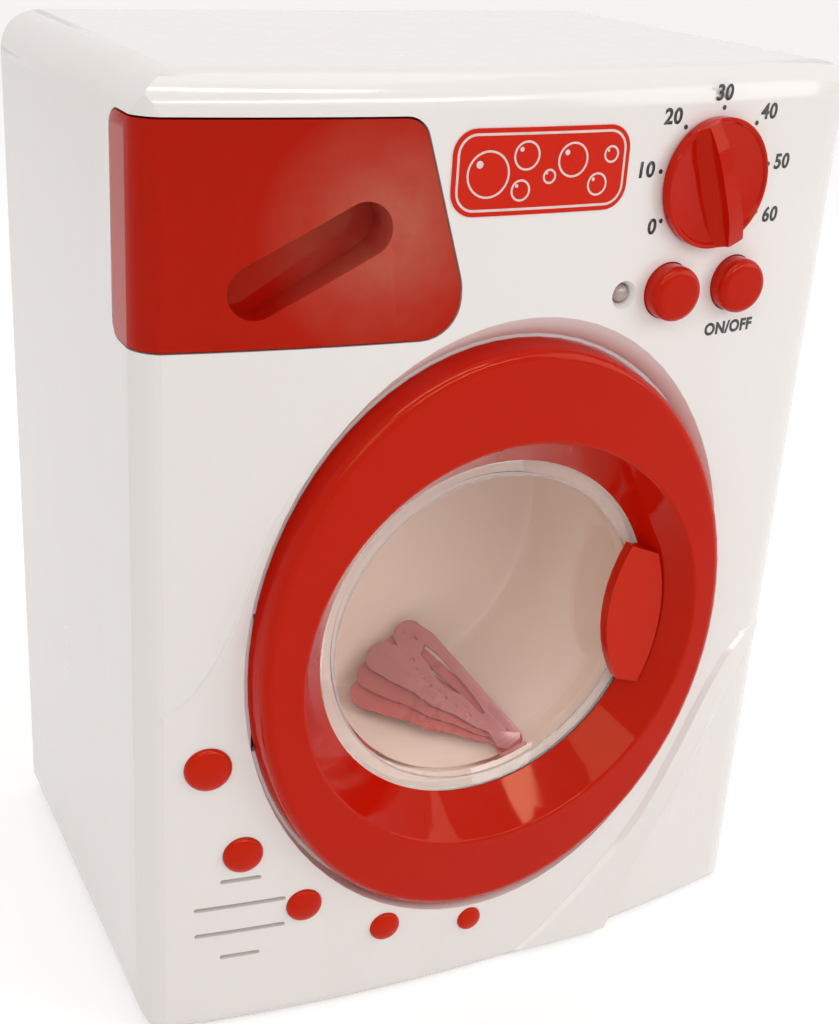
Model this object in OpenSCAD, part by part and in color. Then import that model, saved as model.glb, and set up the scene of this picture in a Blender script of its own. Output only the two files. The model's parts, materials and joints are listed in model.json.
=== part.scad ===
// Toy washing machine. Origin at the middle of the base, +Z up, front towards -Y.

/* [Case] */
// Width of the case across its flat sides
case_w = 200; // [196:1:210]
// Height of the case from the table to its flat top
case_h = 258; // [256:1:270]
// Depth of the case at its sides, without the bow of the front
case_d = 130; // [128:1:150]
// Distance that the middle of the bowed front stands ahead of its side edges
bow_rise = 10; // [9.5:0.25:10.5]
// Thickness of the moulded case walls
wall = 2.4; // [2:0.1:2.6]
// Depth of the front panel's side flanges, from the side edges back to the seam
front_depth = 30; // [28:1:34]
// Radius of the top front edge
top_round = 9; // [6:1:12]
// Radius of the upper corners in the front view
corner_round = 13; // [8:1:16]
// Radius of the lower corners in the front view
foot_round = 9; // [6:1:12]
// Radius of the upright front edges
edge_round = 9; // [6:1:10]
// Radius of the right front edge
right_round = 17; // [9:1:20]
// Radius of the upright and upper back edges
back_round = 5; // [3:1:8]
// Radius of the bottom front edge
base_round = 4; // [3:1:6]

/* [Door] */
// Sideways place of the door's middle
door_x = -1; // [-3:0.5:3]
// Height of the door's middle
door_z = 107.5; // [106:0.5:109]
// Half width of the oval door ring
ring_rx = 70.5; // [70:0.5:72]
// Half height of the oval door ring
ring_rz = 83.6; // [82:0.4:84]
// Sideways offset of the oval from the window's middle
ring_dx = -1.5; // [-2:0.25:-1]
// Upward offset of the oval from the window's middle
ring_dz = 1.8; // [1:0.2:2.4]
// Distance of the ring's flat face ahead of the case's side edges
ring_proud = 12; // [11.5:0.5:13]
// Distance of the recess floor ahead of the case's side edges
recess_proud = 3.5; // [3.2:0.1:3.8]
// Radius of the bevel's outer edge
bevel_r = 59.5; // [59:0.25:60]
// Radius of the visible window
window_r = 50.3; // [49:0.1:50.5]
// Radius of the door hole in the front panel
hole_r = 59; // [58.8:0.1:59.4]
// Thickness of the ring's moulded face
ring_face = 2.6; // [2.2:0.1:2.8]
// Thickness of the ring's rim
ring_rim = 2.5; // [2.2:0.1:2.6]
// Thickness of the clear window
window_t = 1.6; // [1.2:0.1:1.8]
// Angle that the door opens to
door_open = 100; // [60:5:100]

/* [Drum] */
// Inner radius of the drum
drum_r = 57.5; // [56:0.5:57.5]
// Thickness of the drum wall
drum_wall = 2; // [1.5:0.1:2.2]
// Inside depth of the drum
drum_depth = 64.5; // [60:0.5:66]

/* [Gear train] */
// Module of all the gears
gear_mod = 0.8; // [0.8:0.05:0.8]
// Teeth of the gear on the drum shaft
drum_teeth = 60; // [60:6:60]
// Teeth of the idler's small gear
idler_small = 12; // [12:1:12]
// Teeth of the idler's large gear
idler_large = 36; // [36:12:36]
// Teeth of the motor pinion
motor_teeth = 10; // [10:1:10]
// Play left between two tooth flanks
backlash = 0.16; // [0.12:0.02:0.24]

/* [Controls] */
// Sideways place of the knob's middle
knob_x = 47.8; // [46:0.2:50]
// Height of the knob's middle
knob_z = 230.3; // [228:0.1:232]
// Radius of the knob
knob_r = 16.4; // [15:0.2:17]
// Length of the knob fin ahead of the knob's base
knob_fin = 7.8; // [6:0.2:9]
// Angle of the fin's upper end in the front view
knob_angle = 112; // [100:1:130]
// Sideways place of the left button
left_x = 37.7; // [36:0.1:38]
// Sideways place of the power button
power_x = 59.7; // [59:0.1:61]
// Height of the buttons and the light
button_z = 203.2; // [202:0.1:205]
// Radius of the button caps
button_r = 7.2; // [6.5:0.1:7.4]
// Distance of the button caps ahead of the panel
button_proud = 5.5; // [4:0.1:6]
// Travel of a pressed button
button_travel = 1.5; // [1:0.1:1.6]
// Sideways place of the light
led_x = 24.1; // [22:0.1:25]

/* [Drawer] */
// Height of the drawer front's lower edge
drawer_z0 = 196.4; // [196:0.2:198]
// Height of the drawer front's upper edge
drawer_z1 = 248.2; // [246:0.2:249]
// Depth that the drawer front wraps back on the left side
drawer_wrap = 17; // [14:1:20]
// Thickness of the drawer front
drawer_skin = 2.2; // [1.8:0.1:2.6]
// Length of the drawer tray
tray_len = 66; // [50:1:70]
// Half width of the finger slot
slot_r = 6.5; // [5.5:0.1:7]
// Depth of the finger pocket behind the drawer front's surface
slot_deep = 9; // [8:0.5:10]

/* [Battery bay] */
// Length of the bay for the cells, with their contacts
bay_len = 58; // [57:0.5:60]
// Height of the bay for three cells side by side
bay_h = 46; // [45:0.5:47]
// Depth of the bay from the cover inwards
bay_deep = 15.8; // [15.5:0.1:17]
// Thickness of the battery cover
cover_t = 2; // [1.8:0.1:2.4]

/* [Speaker] */
// Sideways place of the speaker
speaker_x = -74; // [-76:0.5:-73]
// Height of the speaker
speaker_z = 36.5; // [35:0.5:38]
// Radius of the speaker
speaker_r = 14; // [12:0.5:14.5]

/* [Clearances] */
// Gap round a piece that moves in an opening
move_gap = 0.5; // [0.35:0.05:0.6]
// Radial running clearance of a shaft in its bore
run_gap = 0.06; // [0.03:0.01:0.1]
// Gap of a piece seated in a fixed pocket
seat_gap = 0.1; // [0.05:0.01:0.2]

/* [Hidden] */
$fn = 64;

white = "#f4ece6";
red = "#c41a10";
cream = "#cbb9a6";
steel = "#b8b8b8";
pink = "#c07a86";

// Places of the case's main planes
front_y = -case_d / 2;
back_y = case_d / 2;
seam_y = front_y + front_depth;
half_w = case_w / 2;
bow_r = (pow(half_w, 2) + pow(bow_rise, 2)) / (2 * bow_rise);
bow_cy = front_y - bow_rise + bow_r;
bow_half = 18;
blend = 0.1;

// Places of the door, from the panel's side edges forwards
ring_x = door_x + ring_dx;
ring_z = door_z + ring_dz;
recess_y = front_y - recess_proud;
ring_back_y = recess_y - 0.3;
ring_face_y = front_y - ring_proud;
ring_gap = 0.8;
ring_round = 3;
ring_draft = 0.9;
floor_t = 2.4;
collar_t = 2;
floor_back_y = recess_y + floor_t;
collar_end_y = front_y + 7.4;
ring_collar_r = hole_r - 1.5;
ring_collar_y = front_y + 4;
seat_y = front_y + 0.3;
seat_r = 54.3;
flange_r = seat_r - 0.3;
flange_t = 2;
crease_r = 46;
crease_y = front_y + 3.3;
dome_rise = 2;
retainer_r = 51;
retainer_t = 1.7;
retainer_screw_r = (seat_r + ring_collar_r) / 2 - 0.2;

// Places of the gooseneck hinge
hinge_out = 8;
hinge_x = ring_x - ring_rx - hinge_out;
hinge_y = front_y + 2.5;
pin_r = 1.5;
knuckle_r = 3;
arm_t = 2.4;
arm_reach = 16;
arm_back = 12.7;
arm_bend = 6.5;
arm_low = 13.5;
arm_high = 19.5;
foot_y = ring_face_y + ring_face + 2.2;
foot_t = 2.2;
foot_x0 = ring_x - ring_rx + 6.2;
foot_x1 = foot_x0 + 5.2;
foot_h = 21;
ear_t = 3.2;
side_gap = 0.3;
ear_z = [-arm_high - side_gap - ear_t, -arm_low + side_gap, arm_low - side_gap - ear_t,
    arm_high + side_gap];

// Places of the latch
latch_x0 = ring_x + ring_rx - 6.6;
latch_t = 2.8;
latch_z = door_z + 1.5;
latch_h = 10;
latch_end_y = front_y + 6;

// Places of the drum and its gears
drum_front_y = front_y + 8.5;
drum_back_y = drum_front_y + drum_depth;
drum_out_r = drum_r + drum_wall;
hub_r = 7;
hub_len = 5.3;
hub_end_y = drum_back_y + 2 + hub_len;
plate_y = hub_end_y + 1.7;
plate_t = 2.5;
shaft_r = 3;
bush_r = 5;
gear_y = plate_y + 5;
gear_w = 4;
idler_y = plate_y + 4.5;
small_w = 5;
large_y = gear_y + 6;
large_w = 3;
cover_y = plate_y + 17;
cover_plate_t = 2;
gear_press = 25;
gear_add = 0.8;
gear_ded = 1.05;
drum_pitch = gear_mod * drum_teeth / 2;
small_pitch = gear_mod * idler_small / 2;
large_pitch = gear_mod * idler_large / 2;
motor_pitch = gear_mod * motor_teeth / 2;
idler_x = door_x + drum_pitch + small_pitch;
idler_z = door_z;
motor_dir = -60;
motor_x = idler_x + (large_pitch + motor_pitch) * cos(motor_dir);
motor_z = idler_z + (large_pitch + motor_pitch) * sin(motor_dir);
motor_can_r = 10.2;
motor_len = 25;
box_wall = 2;
box_room = 3;
box_x0 = door_x - drum_pitch - gear_add - box_room - 1.2;
box_x1 = motor_x + motor_can_r + gear_add;
box_z0 = door_z - drum_pitch - gear_add - box_room - 1.7;
box_z1 = door_z + drum_pitch + gear_add + box_room + 1.7;
box_post_r = 3;
box_posts = [[box_x0 + 4.6, box_z0 + 4.6], [motor_x - 17, box_z0 + 4.6],
    [box_x0 + 4.6, box_z1 - 4.6], [box_x1 - 4.6, box_z1 - 4.6]];
ear_r = 5;
box_ears = [[box_x0 - 6, box_z0 + 10], [box_x1 + 6, box_z0 + 10],
    [box_x0 - 6, box_z1 - 10], [box_x1 + 6, box_z1 - 10]];
ear_post_r = 4;

// Screws, each with its own pilot hole
screw_r = 1.4;
screw_gap = 0.05;
screw_head_r = 2.8;
small_screw_r = 0.8;
small_head_r = 1.5;
boss_r = 4;
case_screw_x = half_w - 10;
case_screw_z = [16, 100, 186];
tunnel_r = 3.2;
tunnel_wall = 1.4;
web_t = 3;
case_screw_len = 18;

// Places of the controls
pad_r = knob_r - 0.8;
pad_h = 0.2;
stem_r = 4;
stem_gap = 0.08;
stem_len = 7.4;
knob_tube_r = 7;
board_y = front_y + 11;
board_t = 1.6;
board_x0 = led_x - 6;
board_x1 = power_x + 11.5;
board_z0 = button_z - 11.2;
board_z1 = button_z + 11.8;
board_holes = [[board_x0 + 3, board_z1 - 3], [board_x1 - 3, board_z1 - 3],
    [(left_x + power_x) / 2, board_z0 + 3]];
board_boss_r = 2.6;
switch_w = 6;
switch_h = 4.3;
switch_pin = 1;
button_flange = 1.2;
led_r = 2.5;
led_seat_r = 3.6;

// Places of the drawer
drawer_back_y = front_y + drawer_wrap;
drawer_right = -23;
drawer_top_right = -34.9;
tray_x0 = -half_w + 10;
tray_x1 = -34;
tray_z0 = drawer_z0 + 4.6;
tray_z1 = drawer_z1 - 8.2;
tray_front_y = front_y + 9;
tray_wall = 1.8;
guide_gap = 0.6;
guide_wall = 1.6;
guide_front_y = front_y + 15;
guide_back_y = tray_front_y + tray_len + 4;
guide_tab_x = -17;
guide_tab_z = [drawer_z0 + 8.8, drawer_z1 - 8];
slot_a = [-73.1, drawer_z0 + 13.3];
slot_b = [-47.6, drawer_z0 + 27];
drawer_bosses = [[-84, drawer_z0 + 37.8], [-41, drawer_z0 + 11]];

// Places of the battery bay
bay_z0 = 20;
bay_wall = 2.4;
cover_y0 = back_y - cover_t;
bay_y = cover_y0 - 0.2 - bay_deep;
cover_side = 3;
cover_bottom = 10;
cover_gap = 0.3;
cover_x = bay_len / 2 + cover_side;
cover_top = bay_z0 + bay_h + 4;
cover_pin_r = 1;
cover_axis_z = cover_top - cover_t / 2;
cover_axis_y = back_y - cover_t / 2;
cover_screw_z = cover_bottom + 4.6;
contact_t = 0.5;
cell_pitch = bay_h / 3;

// Places of the speaker
speaker_y = front_y + 2;
grille_slots = [[-5, 12.2, 11], [3.9, 3.9, 24.8], [12.3, -4.6, 24.6], [20.6, -12.7, 10.8]];

// Raised band: left edge, right edge, height at the left and at the right
swoosh_path = [[99.2, 101.5, 99.8, 95, 0.1, 0.1], [91.8, 97.8, 97.4, 88, 0.6, 0.7],
    [84.4, 93.8, 91.8, 80.8, 1, 1.1], [78.7, 88, 86.8, 74.2, 1.3, 1.5],
    [73.3, 80.5, 82.4, 68, 1.5, 1.8], [68.3, 71.6, 79.4, 61.6, 1.6, 2.1],
    [63.4, 61.7, 75.4, 54.2, 1.6, 2.4], [57.6, 51.1, 70.2, 45.4, 1.6, 2.7],
    [50.8, 39.7, 64, 36, 1.6, 3], [42, 28.9, 57.4, 27, 1.6, 3.3], [31.2, 18.7, 52, 18.6, 1.5, 3.5],
    [20.4, 9.3, 48.4, 10.4, 1.3, 3.7], [10.7, 2.5, 45.6, 3.4, 1.1, 3.9],
    [5.3, -0.7, 44.5, -0.7, 1, 3.9]];
swoosh_soft = 3.5;
swoosh_slope = 2.2;

// Thin step: place, direction of its slope, share of its height
lip_path = [[-57, 166.6, 0.9, -0.4, 0.7], [-62.6, 161.5, 0.95, -0.3, 1],
    [-67.8, 152.6, 0.95, -0.25, 1], [-71.8, 142.3, 0.95, -0.25, 1],
    [-76.7, 127.6, 0.93, -0.35, 1], [-79.8, 119.6, 0.9, -0.45, 1],
    [-83.4, 112.8, 0.8, -0.6, 1], [-86.8, 107.8, 0.62, -0.78, 1],
    [-90.6, 104.2, 0.35, -0.93, 1], [-94.4, 102.4, 0.1, -1, 0.9], [-99.2, 102.6, 0, -1, 0.2]];
lip_w = 12;
lip_h = 0.65;

// Accent studs: sideways place, height, radius
studs = [[-83, 84.6, 6.2], [-73.6, 56.8, 5.4], [-56.4, 37.1, 4.95], [-32.3, 24.2, 4.35],
    [-5.5, 19.6, 3.6]];
stud_peg_r = 1.5;
stud_seat = 0.7;

// Front surface of the case at x, or of the same surface moved in by t
function ys(x, t = 0) = bow_cy - sqrt(pow(bow_r - t, 2) - x * x);

// Front surface of the case at x and z, with its rounded side and foot edges
function front_at(x, z) = let (re = x > 0 ? right_round : edge_round, cx = half_w - re,
    cy = bow_cy - sqrt(pow(bow_r - re, 2) - cx * cx),
    side_x = cx + re * cos(atan2(cy - bow_cy, cx)),
    y = abs(x) < side_x ? ys(x) : cy - sqrt(max(re * re - pow(abs(x) - cx, 2), 0)),
    low = max(base_round - z, 0))
    y + base_round - sqrt(max(base_round * base_round - low * low, 0));

// Points of an arc
function arc(c, r, a0, a1, n) =
    [for (i = [0:n]) c + r * [cos(a0 + (a1 - a0) * i / n), sin(a0 + (a1 - a0) * i / n)]];

function unit(v) = v / norm(v);

// Corners of a convex counter-clockwise polygon moved in by d
function inset(p, d) = [for (i = [0:len(p) - 1])
    let (a = p[(i + len(p) - 1) % len(p)], b = p[i], c = p[(i + 1) % len(p)],
        u = unit(b - a), v = unit(c - b), n1 = [-u[1], u[0]], n2 = [-v[1], v[0]])
    b + d * (n1 + n2) / (1 + n1 * n2)];

// The same corners rounded with the radii in r
function rounded(p, r, n = 6) = [for (i = [0:len(p) - 1])
    let (a = p[(i + len(p) - 1) % len(p)], b = p[i], c = p[(i + 1) % len(p)],
        u = unit(a - b), v = unit(c - b), h = acos(u * v) / 2, s = max(r[i], 0))
    each (s < 0.05 ? [b] : let (m = b + unit(u + v) * s / sin(h), q = b + u * s / tan(h) - m,
        g = atan2(q[1], q[0])) arc(m, s, g, g + 180 - 2 * h, n))];

function box_pts(x0, z0, x1, z1) = [[x0, z0], [x1, z0], [x1, z1], [x0, z1]];

// Solid drawn in front view and carried from y0 to y1
module along_y(y0, y1) {
    translate([0, y1, 0]) rotate([90, 0, 0]) linear_extrude(y1 - y0) children();
}

// Solid drawn in side view, as y and z, and carried from x0 to x1
module along_x(x0, x1) {
    translate([x0, 0, 0]) rotate([90, 0, 90]) linear_extrude(x1 - x0) children();
}

// Cylinder on an axis from front to back
module rod(x, z, r, y0, y1) {
    translate([x, y1, z]) rotate([90, 0, 0]) cylinder(r = r, h = y1 - y0);
}

module tube(x, z, r0, r1, y0, y1) {
    difference() {
        rod(x, z, r1, y0, y1);
        rod(x, z, r0, y0 - 1, y1 + 1);
    }
}

module block(x0, y0, z0, x1, y1, z1) {
    translate([x0, y0, z0]) cube([x1 - x0, y1 - y0, z1 - z0]);
}

// Round solid about the door's axis: points are radius and y
module door_turn(pts) {
    translate([door_x, 0, door_z]) rotate([90, 0, 0]) rotate_extrude($fn = 180)
        polygon([for (p = pts) [p[0], -p[1]]]);
}

// Closed skin through a row of loops with as many points each
module loft(loops) {
    n = len(loops[0]);
    m = len(loops);
    pts = [for (l = loops) each l];
    sides = [for (k = [0:m - 2], i = [0:n - 1]) let (j = (i + 1) % n)
        each [[k * n + i, (k + 1) * n + j, k * n + j], [k * n + i, (k + 1) * n + i, (k + 1) * n + j]]];
    start = [for (i = [1:n - 2]) [0, i, i + 1]];
    end = [for (i = [1:n - 2]) [(m - 1) * n, (m - 1) * n + i + 1, (m - 1) * n + i]];
    polyhedron(pts, concat(sides, start, end), convexity = 6);
}

// Oval loop at y, grown by g and raised by dz
function oval(y, g, dz = 0, n = 72) = [for (i = [0:n - 1])
    [ring_x + (ring_rx + g) * cos(i * 360 / n), y, ring_z + dz + (ring_rz + g) * sin(i * 360 / n)]];

// Bowed front, with rounded top and bottom edges, moved in by t
module bow_solid(t) {
    ro = bow_r - t;
    ri = bow_cy - back_y - 25;
    tr = max(top_round - t, 0.6);
    br = max(base_round - t, 0.6);
    translate([0, bow_cy, 0]) rotate([0, 0, 270 - bow_half])
        rotate_extrude(angle = 2 * bow_half, $fn = 720)
            polygon(concat([[ri, t]], arc([ro - br, t + br], br, -90, 0, 4),
                arc([ro - tr, case_h - t - tr], tr, 0, 90, 8), [[ri, case_h - t]]));
}

// Front view of the case, moved in by t
module front_outline(t) {
    x = half_w - t;
    z1 = case_h - t + blend;
    lo = max(foot_round - t, 0.6);
    hi = max(corner_round - t, 0.6);
    polygon(rounded(box_pts(-x, t - blend, x, z1), [lo, lo, hi, hi], 10));
}

// Plan of the case, moved in by t
module plan_outline(t) {
    x = half_w - t + blend;
    rb = max(back_round - t, 0.6);
    rf = bow_r + blend - t;
    back = arc([x - rb, back_y - t - rb], rb, 0, 90, 4);
    right = concat(plan_edge(x, rf, max(right_round - t, 0.6)), back);
    left = concat(plan_edge(x, rf, max(edge_round - t, 0.6)), back);
    polygon(concat(right, [for (i = [len(left) - 1:-1:0]) [-left[i][0], left[i][1]]]));
}

// Rounded front edge of the plan, from the bow of radius rf to the side at x
function plan_edge(x, rf, re) = let (cx = x - re,
    cy = bow_cy - sqrt(pow(rf - re, 2) - cx * cx), a = atan2(cy - bow_cy, cx))
    concat([[0, bow_cy - rf / cos(a + 90)]], arc([cx, cy], re, a, 0, 8));

// Side view of the case, moved in by t
module side_outline(t) {
    rb = max(back_round - t, 0.6);
    y = back_y - t + blend;
    z = case_h - t + blend;
    polygon(concat([[front_y - 40, -1], [y, -1]], arc([y - rb, z - rb], rb, 0, 90, 4),
        [[front_y - 40, z]]));
}

module case_solid(t) {
    intersection() {
        bow_solid(t);
        along_y(front_y - 30, back_y + 5) front_outline(t);
        translate([0, 0, -2]) linear_extrude(case_h + 4) plan_outline(t);
        along_x(-half_w - 5, half_w + 5) side_outline(t);
    }
}

// Curved band on the front, from x0 to x1, between depths t0 and t1
module bow_band(x0, x1, z0, z1, t0, t1) {
    a0 = 270 + asin(x0 / bow_r);
    a1 = 270 + asin(x1 / bow_r);
    translate([0, bow_cy, 0]) rotate([0, 0, a0]) rotate_extrude(angle = a1 - a0, $fn = 720)
        polygon(box_pts(bow_r - t1, z0, bow_r - t0, z1));
}

// Turned solid standing on the bowed front at x and z
module on_front(x, z) {
    translate([x, ys(x), z]) rotate([0, 0, asin(x / bow_r)]) rotate([90, 0, 0]) children();
}

// Outline of the drawer front, grown by g
module drawer_outline(g) {
    corners = [[-half_w - 12, drawer_z0], [drawer_right, drawer_z0],
        [drawer_right, drawer_z0 + 12.9], [drawer_top_right, drawer_z1],
        [-half_w - 12, drawer_z1]];
    polygon(rounded(inset(corners, -g), [0, 9.5 + g, 15 + g, 5.5 + g, 0], 8));
}

module drawer_block(g) {
    intersection() {
        along_y(front_y - 25, front_y + drawer_wrap + 10) drawer_outline(g);
        along_x(-half_w - 11, 0) polygon(rounded(box_pts(front_y - 30, drawer_z0 - g,
            drawer_back_y + g, drawer_z1 + g), [0, 4 + g, 4 + g, 0], 6));
    }
}

// Points round a long shape with round ends
function stadium_pts(a, b, r, n) = let (t = atan2(b[1] - a[1], b[0] - a[0]))
    concat(arc(a, r, t + 90, t + 270, n), arc(b, r, t - 90, t + 90, n));

// Long hole with round ends
module stadium(a, b, r) {
    d = b - a;
    translate(a) circle(r);
    translate(b) circle(r);
    translate(a) rotate(atan2(d[1], d[0])) translate([0, -r]) square([norm(d), 2 * r]);
}

// Recess for the ring: a flat floor with a soft sloping wall
module recess_cut() {
    loft([oval(recess_y, ring_gap), oval(recess_y - 1.2, ring_gap + 0.4, 0.3),
        oval(recess_y - 4, ring_gap + 1.8, 1.5), oval(recess_y - 6.5, ring_gap + 3.4, 2.6),
        oval(recess_y - 9, ring_gap + 6.5, 4)]);
}

// Tub behind the recess
module recess_tub() {
    loft([oval(floor_back_y, ring_gap + wall, 0, 48),
        oval(recess_y - 5, ring_gap + wall + 3.2, 2.6, 48)]);
}

module screw(x, z, y_head, dir, head_r, head_h, r, len) {
    translate([x, y_head, z]) rotate([dir > 0 ? -90 : 90, 0, 0]) {
        difference() {
            translate([0, 0, -head_h]) cylinder(r = head_r, h = head_h);
            translate([-head_r * 0.6, -0.25, -head_h - 1]) cube([head_r * 1.2, 0.5, 1.6]);
            translate([-0.25, -head_r * 0.6, -head_h - 1]) cube([0.5, head_r * 1.2, 1.6]);
        }
        cylinder(r = r, h = len);
    }
}

// Involute tooth space and flank angles
function inv_deg(a) = tan(a) * 180 / PI - a;

function tooth(z, r, side) =
    let (rp = gear_mod * z / 2, rb = rp * cos(gear_press), rr = max(r, rb),
        half = (PI * gear_mod / 2 - backlash) / (2 * rp) * 180 / PI)
    side * (half + inv_deg(gear_press) - inv_deg(acos(rb / rr)));

function gear_pts(z, turn) =
    let (rp = gear_mod * z / 2, ra = rp + gear_add * gear_mod, rr = rp - gear_ded * gear_mod,
        rb = rp * cos(gear_press), lo = max(rr + 0.02, rb),
        row = [rr, lo, lo + (ra - lo) * 0.5, ra])
    [for (k = [0:z - 1]) let (c = turn + k * 360 / z) each concat(
        [for (i = [0:3]) let (a = c - tooth(z, row[i], 1)) row[i] * [cos(a), sin(a)]],
        [for (i = [3:-1:0]) let (a = c + tooth(z, row[i], 1)) row[i] * [cos(a), sin(a)]])];

module gear(x, z, teeth, turn, y0, y1) {
    translate([x, 0, z]) along_y(y0, y1) polygon(gear_pts(teeth, turn));
}

module front_panel() {
    color(white) difference() {
        union() {
            difference() {
                case_solid(0);
                case_solid(wall);
                block(-half_w - 5, seam_y, -5, half_w + 5, back_y + 5, case_h + 5);
            }
            swoosh();
            side_lip();
            rod(door_x, door_z, hole_r + collar_t, recess_y, collar_end_y);
            at_knob() {
                rod(0, 0, pad_r, -pad_h, wall - 0.5);
                rod(0, 0, knob_tube_r, 1, stem_len - 0.3);
            }
            intersection() {
                case_solid(wall / 2);
                union() {
                    for (s = [-1, 1], z = case_screw_z) case_boss(s, z);
                    for (p = board_holes) rod(p[0], p[1], board_boss_r, front_y - 20, board_y);
                    for (z = guide_tab_z) rod(guide_tab_x, z, 3.2, front_y - 20, guide_front_y);
                    for (z = ear_z) hinge_ear(door_z + z);
                    rod(led_x, button_z, led_r + 1.6, front_y - 20, ys(led_x) + 6);
                    rod(speaker_x, speaker_z, speaker_r + 1.9, front_y - 20, speaker_y + 2);
                    recess_tub();
                }
            }
        }
        recess_cut();
        rod(door_x, door_z, hole_r, front_y - 20, collar_end_y + 1);
        drawer_block(move_gap);
        at_knob() rod(0, 0, stem_r + stem_gap, -10, 14);
        for (x = [left_x, power_x])
            rod(x, button_z, button_r + 0.25, front_y - 20, ys(x) + 6);
        led_seat();
        for (s = [-1, 1], z = case_screw_z)
            rod(s * case_screw_x, z, screw_r + screw_gap, seam_y - case_screw_len, seam_y + 1);
        for (p = board_holes) rod(p[0], p[1], small_screw_r + screw_gap, board_y - 7, board_y + 1);
        for (z = guide_tab_z)
            rod(guide_tab_x, z, screw_r + screw_gap, guide_front_y - 9, guide_front_y + 1);
        translate([hinge_x, hinge_y, door_z - arm_high - 5])
            cylinder(r = pin_r + 0.02, h = 2 * arm_high + 10);
        for (s = [-1, 1]) arm_slot(s);
        block(latch_x0 - 0.5, recess_y - 1, latch_z - latch_h / 2 - 0.5,
            latch_x0 + latch_t + 0.5, floor_back_y + 0.5, latch_z + latch_h / 2 + 0.5);
        speaker_pocket();
        for (s = studs) on_front(s[0], s[1]) stud_pocket(s[2]);
    }
}

// Points across a raised band from l to r, each as share of the width and height
function band_loop(l, r, points) = [for (p = points) let (q = l + (r - l) * p[0])
    [q[0], front_at(q[0], q[1]) - p[1], q[1]]];

// Raised band that sweeps from the right edge down to the foot
module swoosh() {
    n = len(swoosh_path);
    difference() {
        loft([for (k = [0:n - 1]) let (s = swoosh_path[k], w = norm([s[2] - s[0], s[3] - s[1]]),
            soft = min(swoosh_soft * (1 + 0.08 * (n - 1 - k)) / w, 0.36))
            band_loop([s[0], s[1]], [s[2], s[3]], [[0, -0.8], [1, -0.8], [1 - soft, s[5]],
                [0.5, (s[4] + s[5]) / 2 + 0.1], [min(swoosh_slope / w, 0.3), s[4]]])]);
        block(-half_w, front_y - 30, -10, half_w + 5, front_y + 10, 0);
    }
}

// Thin step that curves from the recess to the left edge
module side_lip() {
    loft([for (s = lip_path) band_loop([s[0], s[1]], [s[0] + lip_w * s[2], s[1] + lip_w * s[3]],
        [[0, -0.6], [1, -0.6], [0.06, lip_h * s[4]]])]);
}

module case_boss(s, z) {
    rod(s * case_screw_x, z, boss_r, front_y - 20, seam_y);
    block(s > 0 ? case_screw_x : -half_w, front_y - 10, z - 0.8,
        s > 0 ? half_w : -case_screw_x, seam_y, z + 0.8);
}

module hinge_ear(z) {
    translate([hinge_x, hinge_y, z]) {
        cylinder(r = 3.5, h = ear_t);
        translate([-3.5, -12, 0]) cube([7, 12, ear_t]);
    }
}

module arm_slot(s) {
    z0 = door_z + (s > 0 ? arm_low : -arm_high) - move_gap;
    block(hinge_x + 9.4, recess_y - 1, z0, hinge_x + 19.8, floor_back_y + 0.5,
        z0 + arm_high - arm_low + 2 * move_gap);
}

module led_seat() {
    y = ys(led_x);
    translate([led_x, y - 2, button_z]) rotate([-90, 0, 0])
        cylinder(r1 = led_seat_r + 1.1, r2 = led_r + seat_gap, h = 4);
    rod(led_x, button_z, led_r + seat_gap, y - 1, y + 12);
}

module speaker_pocket() {
    intersection() {
        rod(speaker_x, speaker_z, speaker_r - 1.6, speaker_y - 9, speaker_y + 5);
        translate([0, bow_cy, speaker_z - 30]) cylinder(r = bow_r - wall - 0.2, h = 60, $fn = 720);
    }
    rod(speaker_x, speaker_z, speaker_r + 0.3, speaker_y, speaker_y + 5);
    for (g = grille_slots)
        along_y(front_y - 20, speaker_y) stadium([speaker_x - g[2] / 2 + 0.6, speaker_z + g[1]],
            [speaker_x + g[2] / 2 - 0.6, speaker_z + g[1]], 0.65);
}

module stud_pocket(r) {
    translate([0, 0, -stud_seat]) cylinder(r = r + seat_gap, h = 6);
    translate([0, 0, -12]) cylinder(r = stud_peg_r + seat_gap, h = 14);
    translate([0, 0, -12]) cylinder(r = stud_peg_r + 0.7, h = 12 - wall - 0.3);
}

module rear_shell() {
    color(white) difference() {
        union() {
            difference() {
                case_solid(0);
                case_solid(wall);
                block(-half_w - 5, front_y - 25, -5, half_w + 5, seam_y, case_h + 5);
            }
            intersection() {
                case_solid(wall / 2);
                union() {
                    for (s = [-1, 1], z = case_screw_z) {
                        rod(s * case_screw_x, z, tunnel_r + tunnel_wall, seam_y, back_y);
                        block(s > 0 ? case_screw_x + 3.6 : -half_w, seam_y + 3, z - 0.8,
                            s > 0 ? half_w : -case_screw_x - 3.6, back_y, z + 0.8);
                    }
                    for (p = box_ears) rod(p[0], p[1], ear_post_r, plate_y + plate_t, back_y);
                    bay_body();
                    block(-half_w, seam_y + 4, tray_z0 - guide_gap - guide_wall - 2,
                        tray_x0 + 3, guide_back_y - 4, tray_z0 - guide_gap - guide_wall);
                }
            }
            seam_lips();
        }
        for (s = [-1, 1], z = case_screw_z) {
            rod(s * case_screw_x, z, tunnel_r, seam_y + web_t, back_y + 5);
            rod(s * case_screw_x, z, screw_r + 0.3, seam_y - 1, seam_y + web_t + 1);
        }
        for (p = box_ears)
            rod(p[0], p[1], screw_r + screw_gap, plate_y + plate_t - 1, plate_y + plate_t + 9);
        bay_cut();
    }
}

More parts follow.
